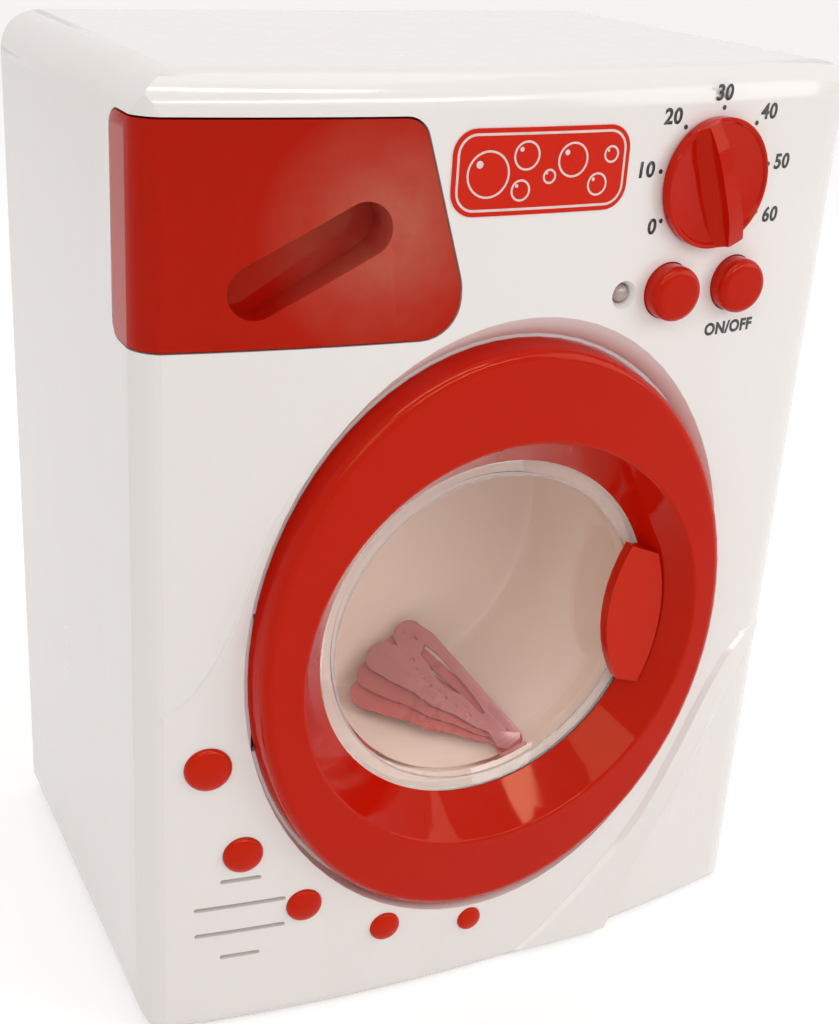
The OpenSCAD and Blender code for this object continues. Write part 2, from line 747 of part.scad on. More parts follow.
// Tongues behind the seam that slip inside the front panel's walls
module seam_lips() {
    t = 1.2;
    g = 0.15;
    y0 = seam_y - 3;
    y1 = seam_y + 3;
    lip = wall + g;
    for (s = [-1, 1]) {
        block(s * 35 - 25, y0, case_h - lip - t, s * 35 + 25, y1, case_h - lip);
        block(s * 35 - 25, seam_y, case_h - lip - t, s * 35 + 25, y1, case_h - wall + 0.4);
        block(s * 35 - 25, y0, lip, s * 35 + 25, y1, lip + t);
        block(s * 35 - 25, seam_y, wall - 0.4, s * 35 + 25, y1, lip + t);
    }
    for (z = [58, 143]) mirror_x() {
        block(half_w - lip - t, y0, z - 20, half_w - lip, y1, z + 20);
        block(half_w - lip - t, seam_y, z - 20, half_w - wall + 0.4, y1, z + 20);
    }
}

module mirror_x() {
    children();
    mirror([1, 0, 0]) children();
}

module bay_body() {
    x = bay_len / 2 + bay_wall;
    block(-x, bay_y - bay_wall, bay_z0 - bay_wall, x, back_y, bay_z0 + bay_h + bay_wall);
    block(-cover_x - 2.6, cover_y0 - 2.4, cover_bottom - 2.4, cover_x + 2.6, back_y, cover_top + 2.6);
    rod(0, cover_screw_z, 3.6, cover_y0 - 13, back_y);
    block(-1, cover_y0 - 12, cover_screw_z, 1, back_y, bay_z0);
}

module bay_cut() {
    block(-bay_len / 2, bay_y, bay_z0, bay_len / 2, back_y + 5, bay_z0 + bay_h);
    block(-cover_x - cover_gap, cover_y0 - 0.2, cover_bottom - cover_gap,
        cover_x + cover_gap, back_y + 5, cover_top + cover_gap);
    translate([-cover_x - 2, cover_axis_y, cover_axis_z]) rotate([0, 90, 0])
        cylinder(r = cover_pin_r + run_gap, h = 2 * cover_x + 4);
    rod(0, cover_screw_z, screw_r + screw_gap, cover_y0 - 11, back_y + 1);
}

module case_screws() {
    color(steel) for (s = [-1, 1], z = case_screw_z)
        screw(s * case_screw_x, z, seam_y + web_t, -1, screw_head_r, 2, screw_r, case_screw_len);
}

// Domed stud with a peg that is headed over behind the panel
module accent_stud(i) {
    s = studs[i];
    r = s[2];
    h = 0.32 * r;
    color(red) on_front(s[0], s[1]) {
        rotate_extrude() polygon(concat([[0, -stud_seat], [r, -stud_seat], [r, 0.25]],
            [for (k = [1:8]) [r * cos(k * 11.25), 0.25 + h * sin(k * 11.25)]]));
        translate([0, 0, -wall - 1.2]) cylinder(r = stud_peg_r, h = wall + 1.2 - stud_seat + 0.1);
        translate([0, 0, -wall - 1.7]) cylinder(r = stud_peg_r + 0.4, h = 1.1);
    }
}

module accent_stud_1() { accent_stud(0); }
module accent_stud_2() { accent_stud(1); }
module accent_stud_3() { accent_stud(2); }
module accent_stud_4() { accent_stud(3); }
module accent_stud_5() { accent_stud(4); }

module front_label() {
    color(red) intersection() {
        bow_band(-30, 24, drawer_z0 + 26, drawer_z1, -0.3, 0);
        along_y(front_y - 20, front_y) polygon(rounded(box_pts(-27.5, drawer_z0 + 29,
            20.5, drawer_z1 - 2.4), [6, 6, 6, 6], 8));
    }
}

// Oval ring, hollow from behind, with a conical bevel down to the window
module door_ring() {
    yk = ring_face_y + ring_round;
    fil = [for (k = [1:4]) let (a = k * 22.5)
        oval(yk - ring_round * sin(a), -ring_draft - ring_round * (1 - cos(a)))];
    inner_y = ring_face_y + ring_face;
    color(red) difference() {
        union() {
            difference() {
                loft(concat([oval(ring_back_y, 0), oval(yk, -ring_draft)], fil));
                loft([oval(ring_back_y + 2, -ring_rim), oval(inner_y, -ring_rim - ring_draft)]);
            }
            door_turn([[window_r - 2, ring_collar_y], [ring_collar_r, ring_collar_y],
                [ring_collar_r, ring_face_y + 6.4], [bevel_r + 2.2, inner_y - 0.4],
                [window_r - 2, inner_y - 0.4]]);
            for (z = [-1, 1]) rod((foot_x0 + foot_x1) / 2, door_z + 5 * z, 1.9, inner_y - 0.4, foot_y);
        }
        door_turn([[0, ring_face_y - 5], [bevel_r + 1.3, ring_face_y - 5],
            [bevel_r + 0.7, ring_face_y], [bevel_r, ring_face_y + 0.25],
            [bevel_r - 0.45, ring_face_y + 0.7], [window_r, front_y],
            [window_r, seat_y], [seat_r, seat_y], [seat_r, front_y + 20], [0, front_y + 20]]);
        for (a = [45:90:315]) door_polar(retainer_screw_r, a)
            rod(0, 0, small_screw_r + screw_gap, ring_collar_y - 5, ring_collar_y + 1);
        for (z = [-1, 1]) rod((foot_x0 + foot_x1) / 2, door_z + 5 * z, small_screw_r + screw_gap,
            inner_y - 1.2, foot_y + 1);
    }
}

module door_polar(r, a) {
    translate([door_x + r * cos(a), 0, door_z + r * sin(a)]) children();
}

// Clear dish: flange, sloping step and a slightly domed middle
module door_window() {
    n = 8;
    front = [for (i = [0:n]) [crease_r * i / n, crease_y - dome_rise * (1 - pow(i / n, 2))]];
    back = [for (i = [n:-1:0]) [crease_r * i / n - (i == n ? 0.8 : 0),
        crease_y + window_t - dome_rise * (1 - pow(i / n, 2))]];
    color("#e8ded8", 0.35) door_turn(concat(front, [[window_r - 0.4, seat_y], [flange_r, seat_y],
        [flange_r, seat_y + flange_t], [window_r - 0.6, seat_y + flange_t]], back));
}

module window_retainer() {
    y0 = seat_y + flange_t;
    color(cream) difference() {
        door_turn([[retainer_r, y0], [seat_r - 0.15, y0], [seat_r - 0.15, ring_collar_y],
            [ring_collar_r - 0.2, ring_collar_y], [ring_collar_r - 0.2, ring_collar_y + retainer_t],
            [retainer_r, ring_collar_y + retainer_t]]);
        for (a = [45:90:315]) door_polar(retainer_screw_r, a)
            rod(0, 0, small_screw_r + 0.2, ring_collar_y - 1, ring_collar_y + retainer_t + 1);
    }
}

module retainer_screws() {
    color(steel) for (a = [45:90:315]) door_polar(retainer_screw_r, a)
        screw(0, 0, ring_collar_y + retainer_t, -1, small_head_r, 1, small_screw_r, 5.5);
}

// Lens-shaped grip that bridges the window's edge
module door_handle() {
    y0 = handle_y;
    color(red) difference() {
        union() {
            along_y(y0, y0 + handle_t) handle_outline();
            intersection() {
                along_y(y0 + 0.5, front_y) handle_outline();
                door_turn([[crease_r + 1.5, y0], [crease_r + 12, y0], [crease_r + 12, front_y],
                    [crease_r + 3, front_y]]);
            }
        }
        // The bevel's slope, so that the grip sits on the ring
        difference() {
            rod(door_x, door_z, bevel_r + 4, ring_face_y, front_y + 1);
            door_turn([[0, ring_face_y - 1], [bevel_r + 0.34, ring_face_y - 1],
                [window_r - 0.04, front_y], [0, front_y]]);
        }
        rod(door_x, door_z, window_r - 0.05 , front_y - 0.3, front_y + 1);
    }
}

handle_y = front_y - 5.5;
handle_t = 3.3;

// Right edge follows the bevel, left edge bulges over the window
module handle_outline() {
    ro = 53;
    right = [for (a = [-25:5:20]) [door_x + ro * cos(a), door_z + ro * sin(a)]];
    lr = 42;
    left = [for (a = [-30:6:30]) [door_x + 35 + lr * (1 - cos(a)), door_z + 1 - lr * sin(a)]];
    polygon(concat(right, left));
}

// Two gooseneck arms on one foot plate
module hinge_arms() {
    color(red) difference() {
        union() {
            for (s = [-1, 1]) translate([0, 0, door_z + (s > 0 ? arm_low : -arm_high)])
                linear_extrude(arm_high - arm_low) arm_outline();
            block(foot_x0, foot_y, door_z - foot_h, foot_x1, foot_y + foot_t, door_z + foot_h);
        }
        translate([hinge_x, hinge_y, door_z - 30]) cylinder(r = pin_r + run_gap, h = 60);
        for (z = [-1, 1]) rod((foot_x0 + foot_x1) / 2, door_z + 5 * z, small_screw_r + 0.2,
            foot_y - 1, foot_y + foot_t + 1);
    }
}

// Plan of an arm: knuckle, run to the back, bend, run to the right and leg to the ring
module arm_outline() {
    h = arm_t / 2;
    x1 = arm_reach + h;
    y1 = arm_back + h;
    leg_y = foot_y + foot_t - hinge_y - 1;
    translate([hinge_x, hinge_y]) {
        circle(knuckle_r);
        polygon(concat([[-h, 0], [h, 0], [h, y1 - arm_t - 2], [h + 2, y1 - arm_t]],
            arc([x1 - arm_bend, y1 - arm_bend], arm_bend - arm_t, 90, 0, 6),
            [[x1 - arm_t, leg_y], [x1, leg_y]],
            arc([x1 - arm_bend, y1 - arm_bend], arm_bend, 0, 90, 8),
            arc([3.8 - h, y1 - 3.8], 3.8, 90, 180, 6)));
    }
}

module hinge_arm_screws() {
    color(steel) for (z = [-1, 1]) screw((foot_x0 + foot_x1) / 2, door_z + 5 * z,
        foot_y + foot_t, -1, small_head_r, 1, small_screw_r, foot_t + 2.6);
}

module hinge_pin() {
    z0 = door_z - arm_high - side_gap - ear_t - 1;
    color(steel) translate([hinge_x, hinge_y, z0]) cylinder(r = pin_r, h = 2 * (door_z - z0));
}

module latch_tongue() {
    z0 = latch_z - latch_h / 2;
    color(red) difference() {
        block(latch_x0, ring_face_y + ring_face, z0, latch_x0 + latch_t, latch_end_y, z0 + latch_h);
        for (z = [z0, z0 + latch_h]) translate([latch_x0 - 1, latch_end_y - 3, z])
            rotate([0, 90, 0]) cylinder(r = 1, h = latch_t + 2);
    }
}

module latch_clip() {
    z0 = latch_z - latch_h / 2 - side_gap;
    z1 = latch_z + latch_h / 2 + side_gap;
    x0 = latch_x0 - 0.8;
    x1 = latch_x0 + latch_t + 4;
    color(cream) {
        difference() {
            block(x0, floor_back_y, z0 - 5, x1, floor_back_y + 1.4, z1 + 5);
            block(x0 - 1, floor_back_y - 1, z0, latch_x0 + latch_t + 0.5, floor_back_y + 3, z1);
        }
        for (z = [z0 - 1.2, z1]) block(x0, floor_back_y + 1, z, x1 - 2, latch_end_y - 1, z + 1.2);
    }
}

module drum() {
    color(cream) difference() {
        door_turn([[drum_r, drum_front_y], [drum_out_r, drum_front_y],
            [drum_out_r, drum_back_y - 3], [drum_out_r - 1, drum_back_y + 1],
            [drum_out_r - 4, drum_back_y + 2], [hub_r + 1, drum_back_y + 2],
            [hub_r, drum_back_y + 3], [hub_r, hub_end_y], [0, hub_end_y],
            [0, drum_back_y], [drum_r - 5, drum_back_y], [drum_r - 1.5, drum_back_y - 1.5],
            [drum_r, drum_back_y - 5]]);
        rod(door_x, door_z, shaft_r + 0.02, drum_back_y + 1, hub_end_y + 1);
    }
}

module drum_shaft() {
    color(steel) rod(door_x, door_z, shaft_r, drum_back_y + 1, cover_y + 1.5);
}

module drum_bush() {
    color("#d8c48a") difference() {
        union() {
            rod(door_x, door_z, bush_r, plate_y - 0.5, plate_y + plate_t + 0.7);
            rod(door_x, door_z, bush_r + 1.5, plate_y - 1.2, plate_y);
        }
        rod(door_x, door_z, shaft_r + run_gap, plate_y - 5, plate_y + 10);
    }
}

module drum_gear() {
    color(white) difference() {
        union() {
            gear(door_x, door_z, drum_teeth, 0, gear_y, gear_y + gear_w);
            rod(door_x, door_z, bush_r + 0.5, gear_y - 1.4, gear_y + gear_w + 2);
        }
        rod(door_x, door_z, shaft_r + 0.02, gear_y - 5, gear_y + 20);
        tube(door_x, door_z, bush_r + 3, drum_pitch - 4, gear_y - 1, gear_y + 1);
        for (a = [30:60:330]) door_polar((bush_r + drum_pitch) / 2 - 0.5, a)
            rod(0, 0, 3.2, gear_y - 1, gear_y + gear_w + 1);
    }
}

module idler_gear() {
    color(white) difference() {
        union() {
            gear(idler_x, idler_z, idler_small, 180 / idler_small, idler_y, idler_y + small_w);
            rod(idler_x, idler_z, small_pitch - 1.4, idler_y, cover_y - 0.6);
            gear(idler_x, idler_z, idler_large, 0, large_y, large_y + large_w);
        }
        rod(idler_x, idler_z, pin_r + run_gap, idler_y - 1, cover_y + 1);
    }
}

module idler_pin() {
    color(steel) rod(idler_x, idler_z, pin_r, plate_y + 0.8, cover_y + 1.2);
}

module motor_pinion() {
    gap_dir = motor_dir + 180;
    color(white) difference() {
        gear(motor_x, motor_z, motor_teeth, gap_dir + 180 / motor_teeth, large_y - 0.5,
            large_y + large_w + 0.5);
        rod(motor_x, motor_z, 1.02, large_y - 2, cover_y);
    }
}

module motor_shaft() {
    color(steel) rod(motor_x, motor_z, 1, large_y - 0.5, cover_y + cover_plate_t + 4);
}

module motor_can() {
    y0 = cover_y + cover_plate_t;
    color(steel) difference() {
        union() {
            rod(motor_x, motor_z, motor_can_r, y0, y0 + motor_len);
            rod(motor_x, motor_z, 3, y0 - 1.6, y0 + 1);
            rod(motor_x, motor_z, 3, y0 + motor_len - 1, y0 + motor_len + 0.8);
        }
        rod(motor_x, motor_z, 1 + run_gap, y0 - 5, y0 + 4.5);
    }
}

// Box outline shared by the gearbox and its cover
module gearbox_outline() {
    polygon(rounded(box_pts(box_x0, box_z0, box_x1, box_z1), [4, 4, 4, 4], 6));
}

module gearbox_base() {
    color(cream) difference() {
        union() {
            difference() {
                along_y(plate_y, cover_y) gearbox_outline();
                along_y(plate_y + plate_t, cover_y + 1) polygon(rounded(inset(
                    box_pts(box_x0, box_z0, box_x1, box_z1), box_wall), [2, 2, 2, 2], 6));
            }
            for (p = box_posts) rod(p[0], p[1], box_post_r, plate_y + 1, cover_y);
            for (p = box_ears) {
                rod(p[0], p[1], ear_r, plate_y, plate_y + plate_t);
                block(min(p[0], p[0] < 0 ? box_x0 + 1 : box_x1 - 1), plate_y, p[1] - ear_r + 0.6,
                    max(p[0], p[0] < 0 ? box_x0 + 1 : box_x1 - 1), plate_y + plate_t,
                    p[1] + ear_r - 0.6);
            }
            rod(idler_x, idler_z, 4, plate_y + 1, idler_y - 0.3);
        }
        rod(door_x, door_z, bush_r + 0.02, plate_y - 1, plate_y + plate_t + 1);
        rod(idler_x, idler_z, pin_r + 0.02, plate_y + 0.8, idler_y + 1);
        for (p = box_posts) rod(p[0], p[1], screw_r + screw_gap, cover_y - 9, cover_y + 1);
        for (p = box_ears) rod(p[0], p[1], screw_r + 0.3, plate_y - 1, plate_y + plate_t + 1);
    }
}

module gearbox_cover() {
    color(cream) difference() {
        union() {
            along_y(cover_y, cover_y + cover_plate_t) gearbox_outline();
            tube(motor_x, motor_z, motor_can_r + 0.1, motor_can_r + 1.5, cover_y + 1, cover_y + 8);
        }
        rod(door_x, door_z, shaft_r + run_gap, cover_y - 1, cover_y + 1.7);
        rod(idler_x, idler_z, pin_r + 0.02, cover_y - 1, cover_y + 1.3);
        rod(motor_x, motor_z, 3.05, cover_y - 1, cover_y + 5);
        for (p = box_posts) rod(p[0], p[1], screw_r + 0.3, cover_y - 1, cover_y + 5);
    }
}

module gearbox_screws() {
    color(steel) for (p = box_posts)
        screw(p[0], p[1], cover_y + cover_plate_t, -1, screw_head_r, 1.8, screw_r, 8);
}

module gearbox_mount_screws() {
    color(steel) for (p = box_ears)
        screw(p[0], p[1], plate_y, 1, screw_head_r, 1.8, screw_r, 9);
}

module drawer_front() {
    color(red) difference() {
        union() {
            difference() {
                intersection() {
                    case_solid(0);
                    drawer_block(0);
                }
                intersection() {
                    case_solid(drawer_skin);
                    along_y(front_y - 20, drawer_back_y + 5) drawer_outline(-drawer_skin);
                }
                block(-half_w + drawer_skin + 1.5, front_y + 2, drawer_z0 - 5,
                    0, drawer_back_y + 5, drawer_z1 + 5);
            }
            difference() {
                along_y(front_y - 10, slot_floor_y + 1.6)
                    polygon(stadium_pts(slot_a, slot_b, slot_r + 1.6, 10));
                on_front(slot_mid[0], slot_mid[1])
                    translate([-60, -40, -0.7 * drawer_skin]) cube([120, 80, 40]);
            }
            for (p = drawer_bosses)
                rod(p[0], p[1], 3.4, ys(p[0]) + drawer_skin / 2, tray_front_y);
        }
        along_y(front_y - 20, slot_floor_y) polygon(stadium_pts(slot_a, slot_b, slot_r, 20));
        for (p = drawer_bosses)
            rod(p[0], p[1], screw_r + screw_gap, tray_front_y - 8, tray_front_y + 1);
    }
}

slot_mid = (slot_a + slot_b) / 2;
slot_floor_y = ys(slot_mid[0]) + slot_deep;

module drawer_tray() {
    y1 = tray_front_y + tray_len;
    w = tray_wall;
    color(white) difference() {
        block(tray_x0, tray_front_y, tray_z0, tray_x1, y1, tray_z1);
        block(tray_x0 + w, tray_front_y + w, tray_z0 + w, tray_x1 - w, y1 - w, tray_z1 + 1);
        for (p = drawer_bosses) rod(p[0], p[1], screw_r + 0.3, tray_front_y - 1, tray_front_y + 5);
    }
}

module drawer_screws() {
    color(steel) for (p = drawer_bosses)
        screw(p[0], p[1], tray_front_y + tray_wall, -1, screw_head_r, 1.6, screw_r, 9);
}

// Sleeve that the tray slides in, with two tabs screwed to the front panel
module drawer_guide() {
    g = guide_gap;
    w = guide_wall;
    x0 = tray_x0 - g;
    x1 = tray_x1 + g;
    z0 = tray_z0 - g;
    z1 = tray_z1 + g;
    color(cream) difference() {
        union() {
            block(x0 - w, guide_front_y, z0 - w, x1 + w, guide_back_y, z1 + w);
            for (z = guide_tab_z) block(x1, guide_front_y, z - 4, guide_tab_x + 4, guide_front_y + 2, z + 4);
        }
        block(x0, guide_front_y - 1, z0, x1, guide_back_y - w, z1);
        block(x0 + 8, guide_front_y + 10, z1 - 1, x1 - 8, guide_back_y - 10, z1 + w + 1);
        for (z = guide_tab_z) rod(guide_tab_x, z, screw_r + 0.3, guide_front_y - 1, guide_front_y + 3);
    }
}

module guide_screws() {
    color(steel) for (z = guide_tab_z)
        screw(guide_tab_x, z, guide_front_y + 2, -1, screw_head_r, 1.8, screw_r, 10);
}

// Frame of the knob, on the bowed front, with y inwards
module at_knob() {
    translate([knob_x, ys(knob_x), knob_z]) rotate([0, 0, asin(knob_x / bow_r)]) children();
}

// Dished knob with a fin across its whole width
module knob() {
    h0 = 1.9;
    h1 = 2.6;
    color(red) at_knob() difference() {
        union() {
            translate([0, -pad_h - 0.3, 0]) rotate([90, 0, 0]) {
                rotate_extrude($fn = 120) polygon([[0, 0], [knob_r, 0], [knob_r, h1 - 0.3],
                    [knob_r - 0.3, h1], [knob_r - 1, h1], [knob_r - 1.5, h1 - 0.6],
                    [knob_r - 6, h0 - 0.2], [0, h0 - 0.4]]);
                intersection() {
                    cylinder(r = knob_r - 0.1, h = 20, $fn = 120);
                    rotate([0, 0, knob_angle - 90]) fin();
                }
            }
            rod(0, 0, stem_r, -pad_h - 1.3, stem_len);
        }
        rod(0, 0, screw_r + screw_gap, stem_len - 8, stem_len + 1);
    }
}

// Cross-section of the fin at one end: narrow flat front and hollow flanks
function fin_loop(y, top, foot) =
    let (n = 6, side = [for (i = [0:n]) let (t = i / n)
        [top + (foot - top) * pow(1 - t, 2.2), 0.5 + (knob_fin - 0.5) * t]])
    [for (p = concat([for (i = [0:n]) side[i]], [for (i = [n:-1:0]) [-side[i][0], side[i][1]]]))
        [p[0], y, p[1]]];

module fin() {
    loft([fin_loop(knob_r + 1, 1.6, 6), fin_loop(-knob_r - 1, 2.5, 7)]);
}

module knob_washer() {
    color(steel) at_knob() tube(0, 0, screw_r + 0.1, knob_tube_r - 0.5, stem_len, stem_len + 1);
}

module knob_screw() {
    color(steel) at_knob() screw(0, 0, stem_len + 1, -1, screw_head_r, 1.8, screw_r, 8);
}

// Round cap with a soft edge, a flange behind the panel and a post for the switch
module button(x) {
    cap_y = ys(x) - button_proud;
    fl_y = ys(x + button_r + button_flange, wall) + 0.3;
    end_y = board_y - switch_h - switch_pin - button_travel - 0.2;
    soft = 2.2;
    color(red) translate([x, 0, button_z]) rotate([90, 0, 0]) rotate_extrude($fn = 96)
        polygon(concat([[0, -end_y], [2.5, -end_y], [2.5, -fl_y - 1.4],
            [button_r + button_flange, -fl_y - 1.4]],
            [[button_r + button_flange, -fl_y], [button_r, -fl_y]],
            arc([button_r - soft, -cap_y - soft], soft, 0, 90, 6), [[0, -cap_y + 0.15]]));
}

module left_button() { button(left_x); }
module power_button() { button(power_x); }

module led() {
    y = ys(led_x) + 0.6;
    color("#e8a090") translate([led_x, y, button_z]) rotate([90, 0, 0]) {
        rotate_extrude() polygon(concat([[0, -6.5], [led_r + 0.4, -6.5], [led_r + 0.4, -5.5],
            [led_r, -5.5]], arc([0, -led_r], led_r, 0, 90, 8)));
        for (s = [-1.27, 1.27]) translate([s - 0.25, -0.25, y - board_y])
            cube([0.5, 0.5, board_y - y - 6]);
    }
}

module circuit_board() {
    color("#2f6b3c") difference() {
        block(board_x0, board_y, board_z0, board_x1, board_y + board_t, board_z1);
        for (p = board_holes) rod(p[0], p[1], small_screw_r + 0.2, board_y - 1, board_y + 5);
    }
}

module board_screws() {
    color(steel) for (p = board_holes)
        screw(p[0], p[1], board_y + board_t, -1, small_head_r, 1.2, small_screw_r, 7);
}

module tact_switch(x) {
    h = switch_w / 2;
    color("#303030") {
        block(x - h, board_y - switch_h, button_z - h, x + h, board_y, button_z + h);
        rod(x, button_z, 1.7, board_y - switch_h - switch_pin, board_y - 1);
    }
}

module left_switch() { tact_switch(left_x); }
module power_switch() { tact_switch(power_x); }

// Turned pieces of the speaker: points are radius and y
module speaker_turn(pts) {
    translate([speaker_x, speaker_y, speaker_z]) rotate([90, 0, 0]) rotate_extrude()
        polygon([for (p = pts) [p[0], -p[1]]]);
}

module speaker_basket() {
    r = speaker_r;
    color(steel) speaker_turn([[r - 1.6, 0], [r, 0], [r, 1], [r - 1.4, 1.4], [r - 5, 5.6], [4.2, 5.6],
        [4.2, 4.8], [r - 5.4, 4.8], [r - 2.2, 0.8]]);
}

module speaker_magnet() {
    color("#555555") speaker_turn([[0, 5.6], [9, 5.6], [9, 10], [0, 10]]);
}

module speaker_cone() {
    r = speaker_r;
    color("#222222") speaker_turn([[0, 2.4], [3, 3.2], [r - 3.8, 0.3], [r - 2.4, 0],
        [r - 2.4, 0.5], [r - 3.8, 0.9], [3, 3.9], [0, 3.1]]);
}

module battery_contacts() {
    x = bay_len / 2;
    color(steel) for (k = [0:2], s = [-1, 1])
        block(s > 0 ? x - contact_t : -x, bay_y + 3, bay_z0 + cell_pitch * (k + 0.5) - 6,
            s > 0 ? x : -x + contact_t, cover_y0 - 2, bay_z0 + cell_pitch * (k + 0.5) + 6);
}

// Conical end of each spring, one per cell and on alternate sides
module battery_springs() {
    x = bay_len / 2 - contact_t;
    color(steel) for (k = [0:2]) let (s = k % 2 == 0 ? 1 : -1)
        translate([s * x, bay_y + bay_deep / 2, bay_z0 + cell_pitch * (k + 0.5)])
            rotate([0, -90 * s, 0]) spring_coil();
}

// One conical coil, swept in eight-sided rings
module spring_coil() {
    turns = 3;
    steps = 48;
    wire = 0.4;
    loft([for (i = [0:steps]) let (t = i / steps, a = t * 360 * turns, r = 4.6 - 2 * t,
        c = [r * cos(a), r * sin(a), wire + 4.2 * t]) [for (k = [0:5]) let (b = -60 * k)
        c + wire * [cos(b) * cos(a), cos(b) * sin(a), sin(b)]]]);
}

// Cover hinged on two stub pins at its top edge
module battery_cover() {
    color(white) difference() {
        union() {
            block(-cover_x, cover_y0, cover_bottom, cover_x, back_y, cover_axis_z);
            translate([-cover_x, cover_axis_y, cover_axis_z]) rotate([0, 90, 0])
                cylinder(r = cover_t / 2, h = 2 * cover_x);
            translate([-cover_x - 1.7, cover_axis_y, cover_axis_z]) rotate([0, 90, 0])
                cylinder(r = cover_pin_r, h = 2 * cover_x + 3.4);
        }
        rod(0, cover_screw_z, screw_r + 0.2, cover_y0 - 1, back_y + 1);
        rod(0, cover_screw_z, screw_head_r + 0.1, back_y - 1, back_y + 1);
    }
}

module battery_cover_screw() {
    color(steel) screw(0, cover_screw_z, back_y - 1, -1, screw_head_r, 1, screw_r, 7);
}

// Flat moulded toy garment with a scalloped hem, from its tip at the origin along +X
module garment() {
    h = garment_t;
    lobe = 4.6;
    difference() {
        linear_extrude(h) polygon(concat([[0, 2.2], [0, -2.2]],
            [for (k = [-1:1]) each arc([50 - abs(k), 2 * lobe * k], lobe + 0.4, -66, 66, 8)]));
        translate([0, 0, -1]) linear_extrude(h + 2)
            polygon([[16, 2.6], [38, 5.4], [40, 8.4]]);
        for (i = [0:4]) translate([8 + 8 * i, -0.6 - 1.2 * i, h - 0.4]) cylinder(r = 0.7, h = 1);
    }
}

garment_tip = [22, front_y + 16, 59.6];
garment_t = 1.4;

// Garment k of the stack, lying on the drum floor
module garment_at(k) {
    color(pink) translate(garment_tip) rotate([0, 0, 118]) rotate([0, -5.7, 0])
        rotate([-36, 0, 0]) translate([0, 0, -k * (garment_t + seat_gap)])
            rotate([0, 0, 5 * k - 6]) garment();
}

module toy_garment_1() { garment_at(0); }
module toy_garment_2() { garment_at(1); }
module toy_garment_3() { garment_at(2); }

front_panel();
rear_shell();
case_screws();
accent_stud_1();
accent_stud_2();
accent_stud_3();
accent_stud_4();
accent_stud_5();
front_label();
door_ring();
door_handle();
door_window();
window_retainer();
retainer_screws();
hinge_arms();
hinge_arm_screws();
hinge_pin();
latch_tongue();
latch_clip();
drum();
drum_shaft();
drum_bush();
drum_gear();
idler_gear();
idler_pin();
motor_pinion();
motor_shaft();
motor_can();
gearbox_base();
gearbox_cover();
gearbox_screws();
gearbox_mount_screws();
drawer_front();
drawer_tray();
drawer_screws();
drawer_guide();
guide_screws();
knob();
knob_washer();
knob_screw();
left_button();
power_button();
led();
circuit_board();
board_screws();
left_switch();
power_switch();
speaker_basket();
speaker_magnet();
speaker_cone();
battery_contacts();
battery_springs();
battery_cover();
battery_cover_screw();
toy_garment_1();
toy_garment_2();
toy_garment_3();
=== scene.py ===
import json
import math

import bmesh
import bpy
from mathutils import Matrix, Vector


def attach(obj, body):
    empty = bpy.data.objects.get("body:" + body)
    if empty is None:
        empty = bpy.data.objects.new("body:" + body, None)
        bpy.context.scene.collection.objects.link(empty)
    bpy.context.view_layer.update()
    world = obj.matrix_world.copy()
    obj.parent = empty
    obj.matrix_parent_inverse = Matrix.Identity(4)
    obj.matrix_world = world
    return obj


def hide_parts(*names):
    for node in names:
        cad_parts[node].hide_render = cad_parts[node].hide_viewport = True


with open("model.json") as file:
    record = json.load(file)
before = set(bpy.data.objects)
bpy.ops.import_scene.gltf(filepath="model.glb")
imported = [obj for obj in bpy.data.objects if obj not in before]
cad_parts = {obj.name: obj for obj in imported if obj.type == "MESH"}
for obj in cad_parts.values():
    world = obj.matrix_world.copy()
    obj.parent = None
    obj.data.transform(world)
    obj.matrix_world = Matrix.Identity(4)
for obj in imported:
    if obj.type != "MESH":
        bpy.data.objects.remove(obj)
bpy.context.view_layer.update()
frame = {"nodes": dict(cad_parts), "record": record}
nodes = frame["nodes"]
mm = 0.001

# The bowed front: radius and middle of the bow, in metres
bow = {"radius": 0.505, "middleY": 0.430}


def frontY(x):
    return bow["middleY"] - math.sqrt(bow["radius"] ** 2 - x * x)


def deselect():
    if bpy.context.mode != "OBJECT":
        bpy.ops.object.mode_set(mode="OBJECT")
    bpy.ops.object.select_all(action="DESELECT")


def pick(obj):
    deselect()
    obj.select_set(True)
    bpy.context.view_layer.objects.active = obj
    return obj


def newest(name):
    obj = bpy.context.active_object
    obj.name = name
    obj.data.name = name
    return obj


def setPlace(obj):
    pick(obj)
    bpy.ops.object.transform_apply(location=True, rotation=True, scale=True)
    return obj


def applyAll(obj):
    pick(obj)
    for m in list(obj.modifiers):
        bpy.ops.object.modifier_apply(modifier=m.name)
    return obj


def cleanNormals(obj):
    pick(obj)
    bpy.ops.object.mode_set(mode="EDIT")
    bpy.ops.mesh.select_all(action="SELECT")
    bpy.ops.mesh.remove_doubles(threshold=0.000002)
    bpy.ops.mesh.normals_make_consistent(inside=False)
    bpy.ops.object.mode_set(mode="OBJECT")
    return obj


def smoothBy(obj, degrees):
    pick(obj)
    bpy.ops.object.shade_smooth_by_angle(angle=math.radians(degrees))
    return obj


def weighNormals(obj):
    m = obj.modifiers.new("evenShading", "WEIGHTED_NORMAL")
    m.keep_sharp = True
    m.weight = 50
    return applyAll(obj)


def roundEdges(obj, width, segments=2, degrees=30):
    m = obj.modifiers.new("roundedEdges", "BEVEL")
    m.width = width
    m.segments = segments
    m.limit_method = "ANGLE"
    m.angle_limit = math.radians(degrees)
    m.use_clamp_overlap = True
    m.harden_normals = True
    return obj


def finish(obj, mat, body):
    obj.data.materials.clear()
    obj.data.materials.append(mat)
    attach(obj, body)
    return obj


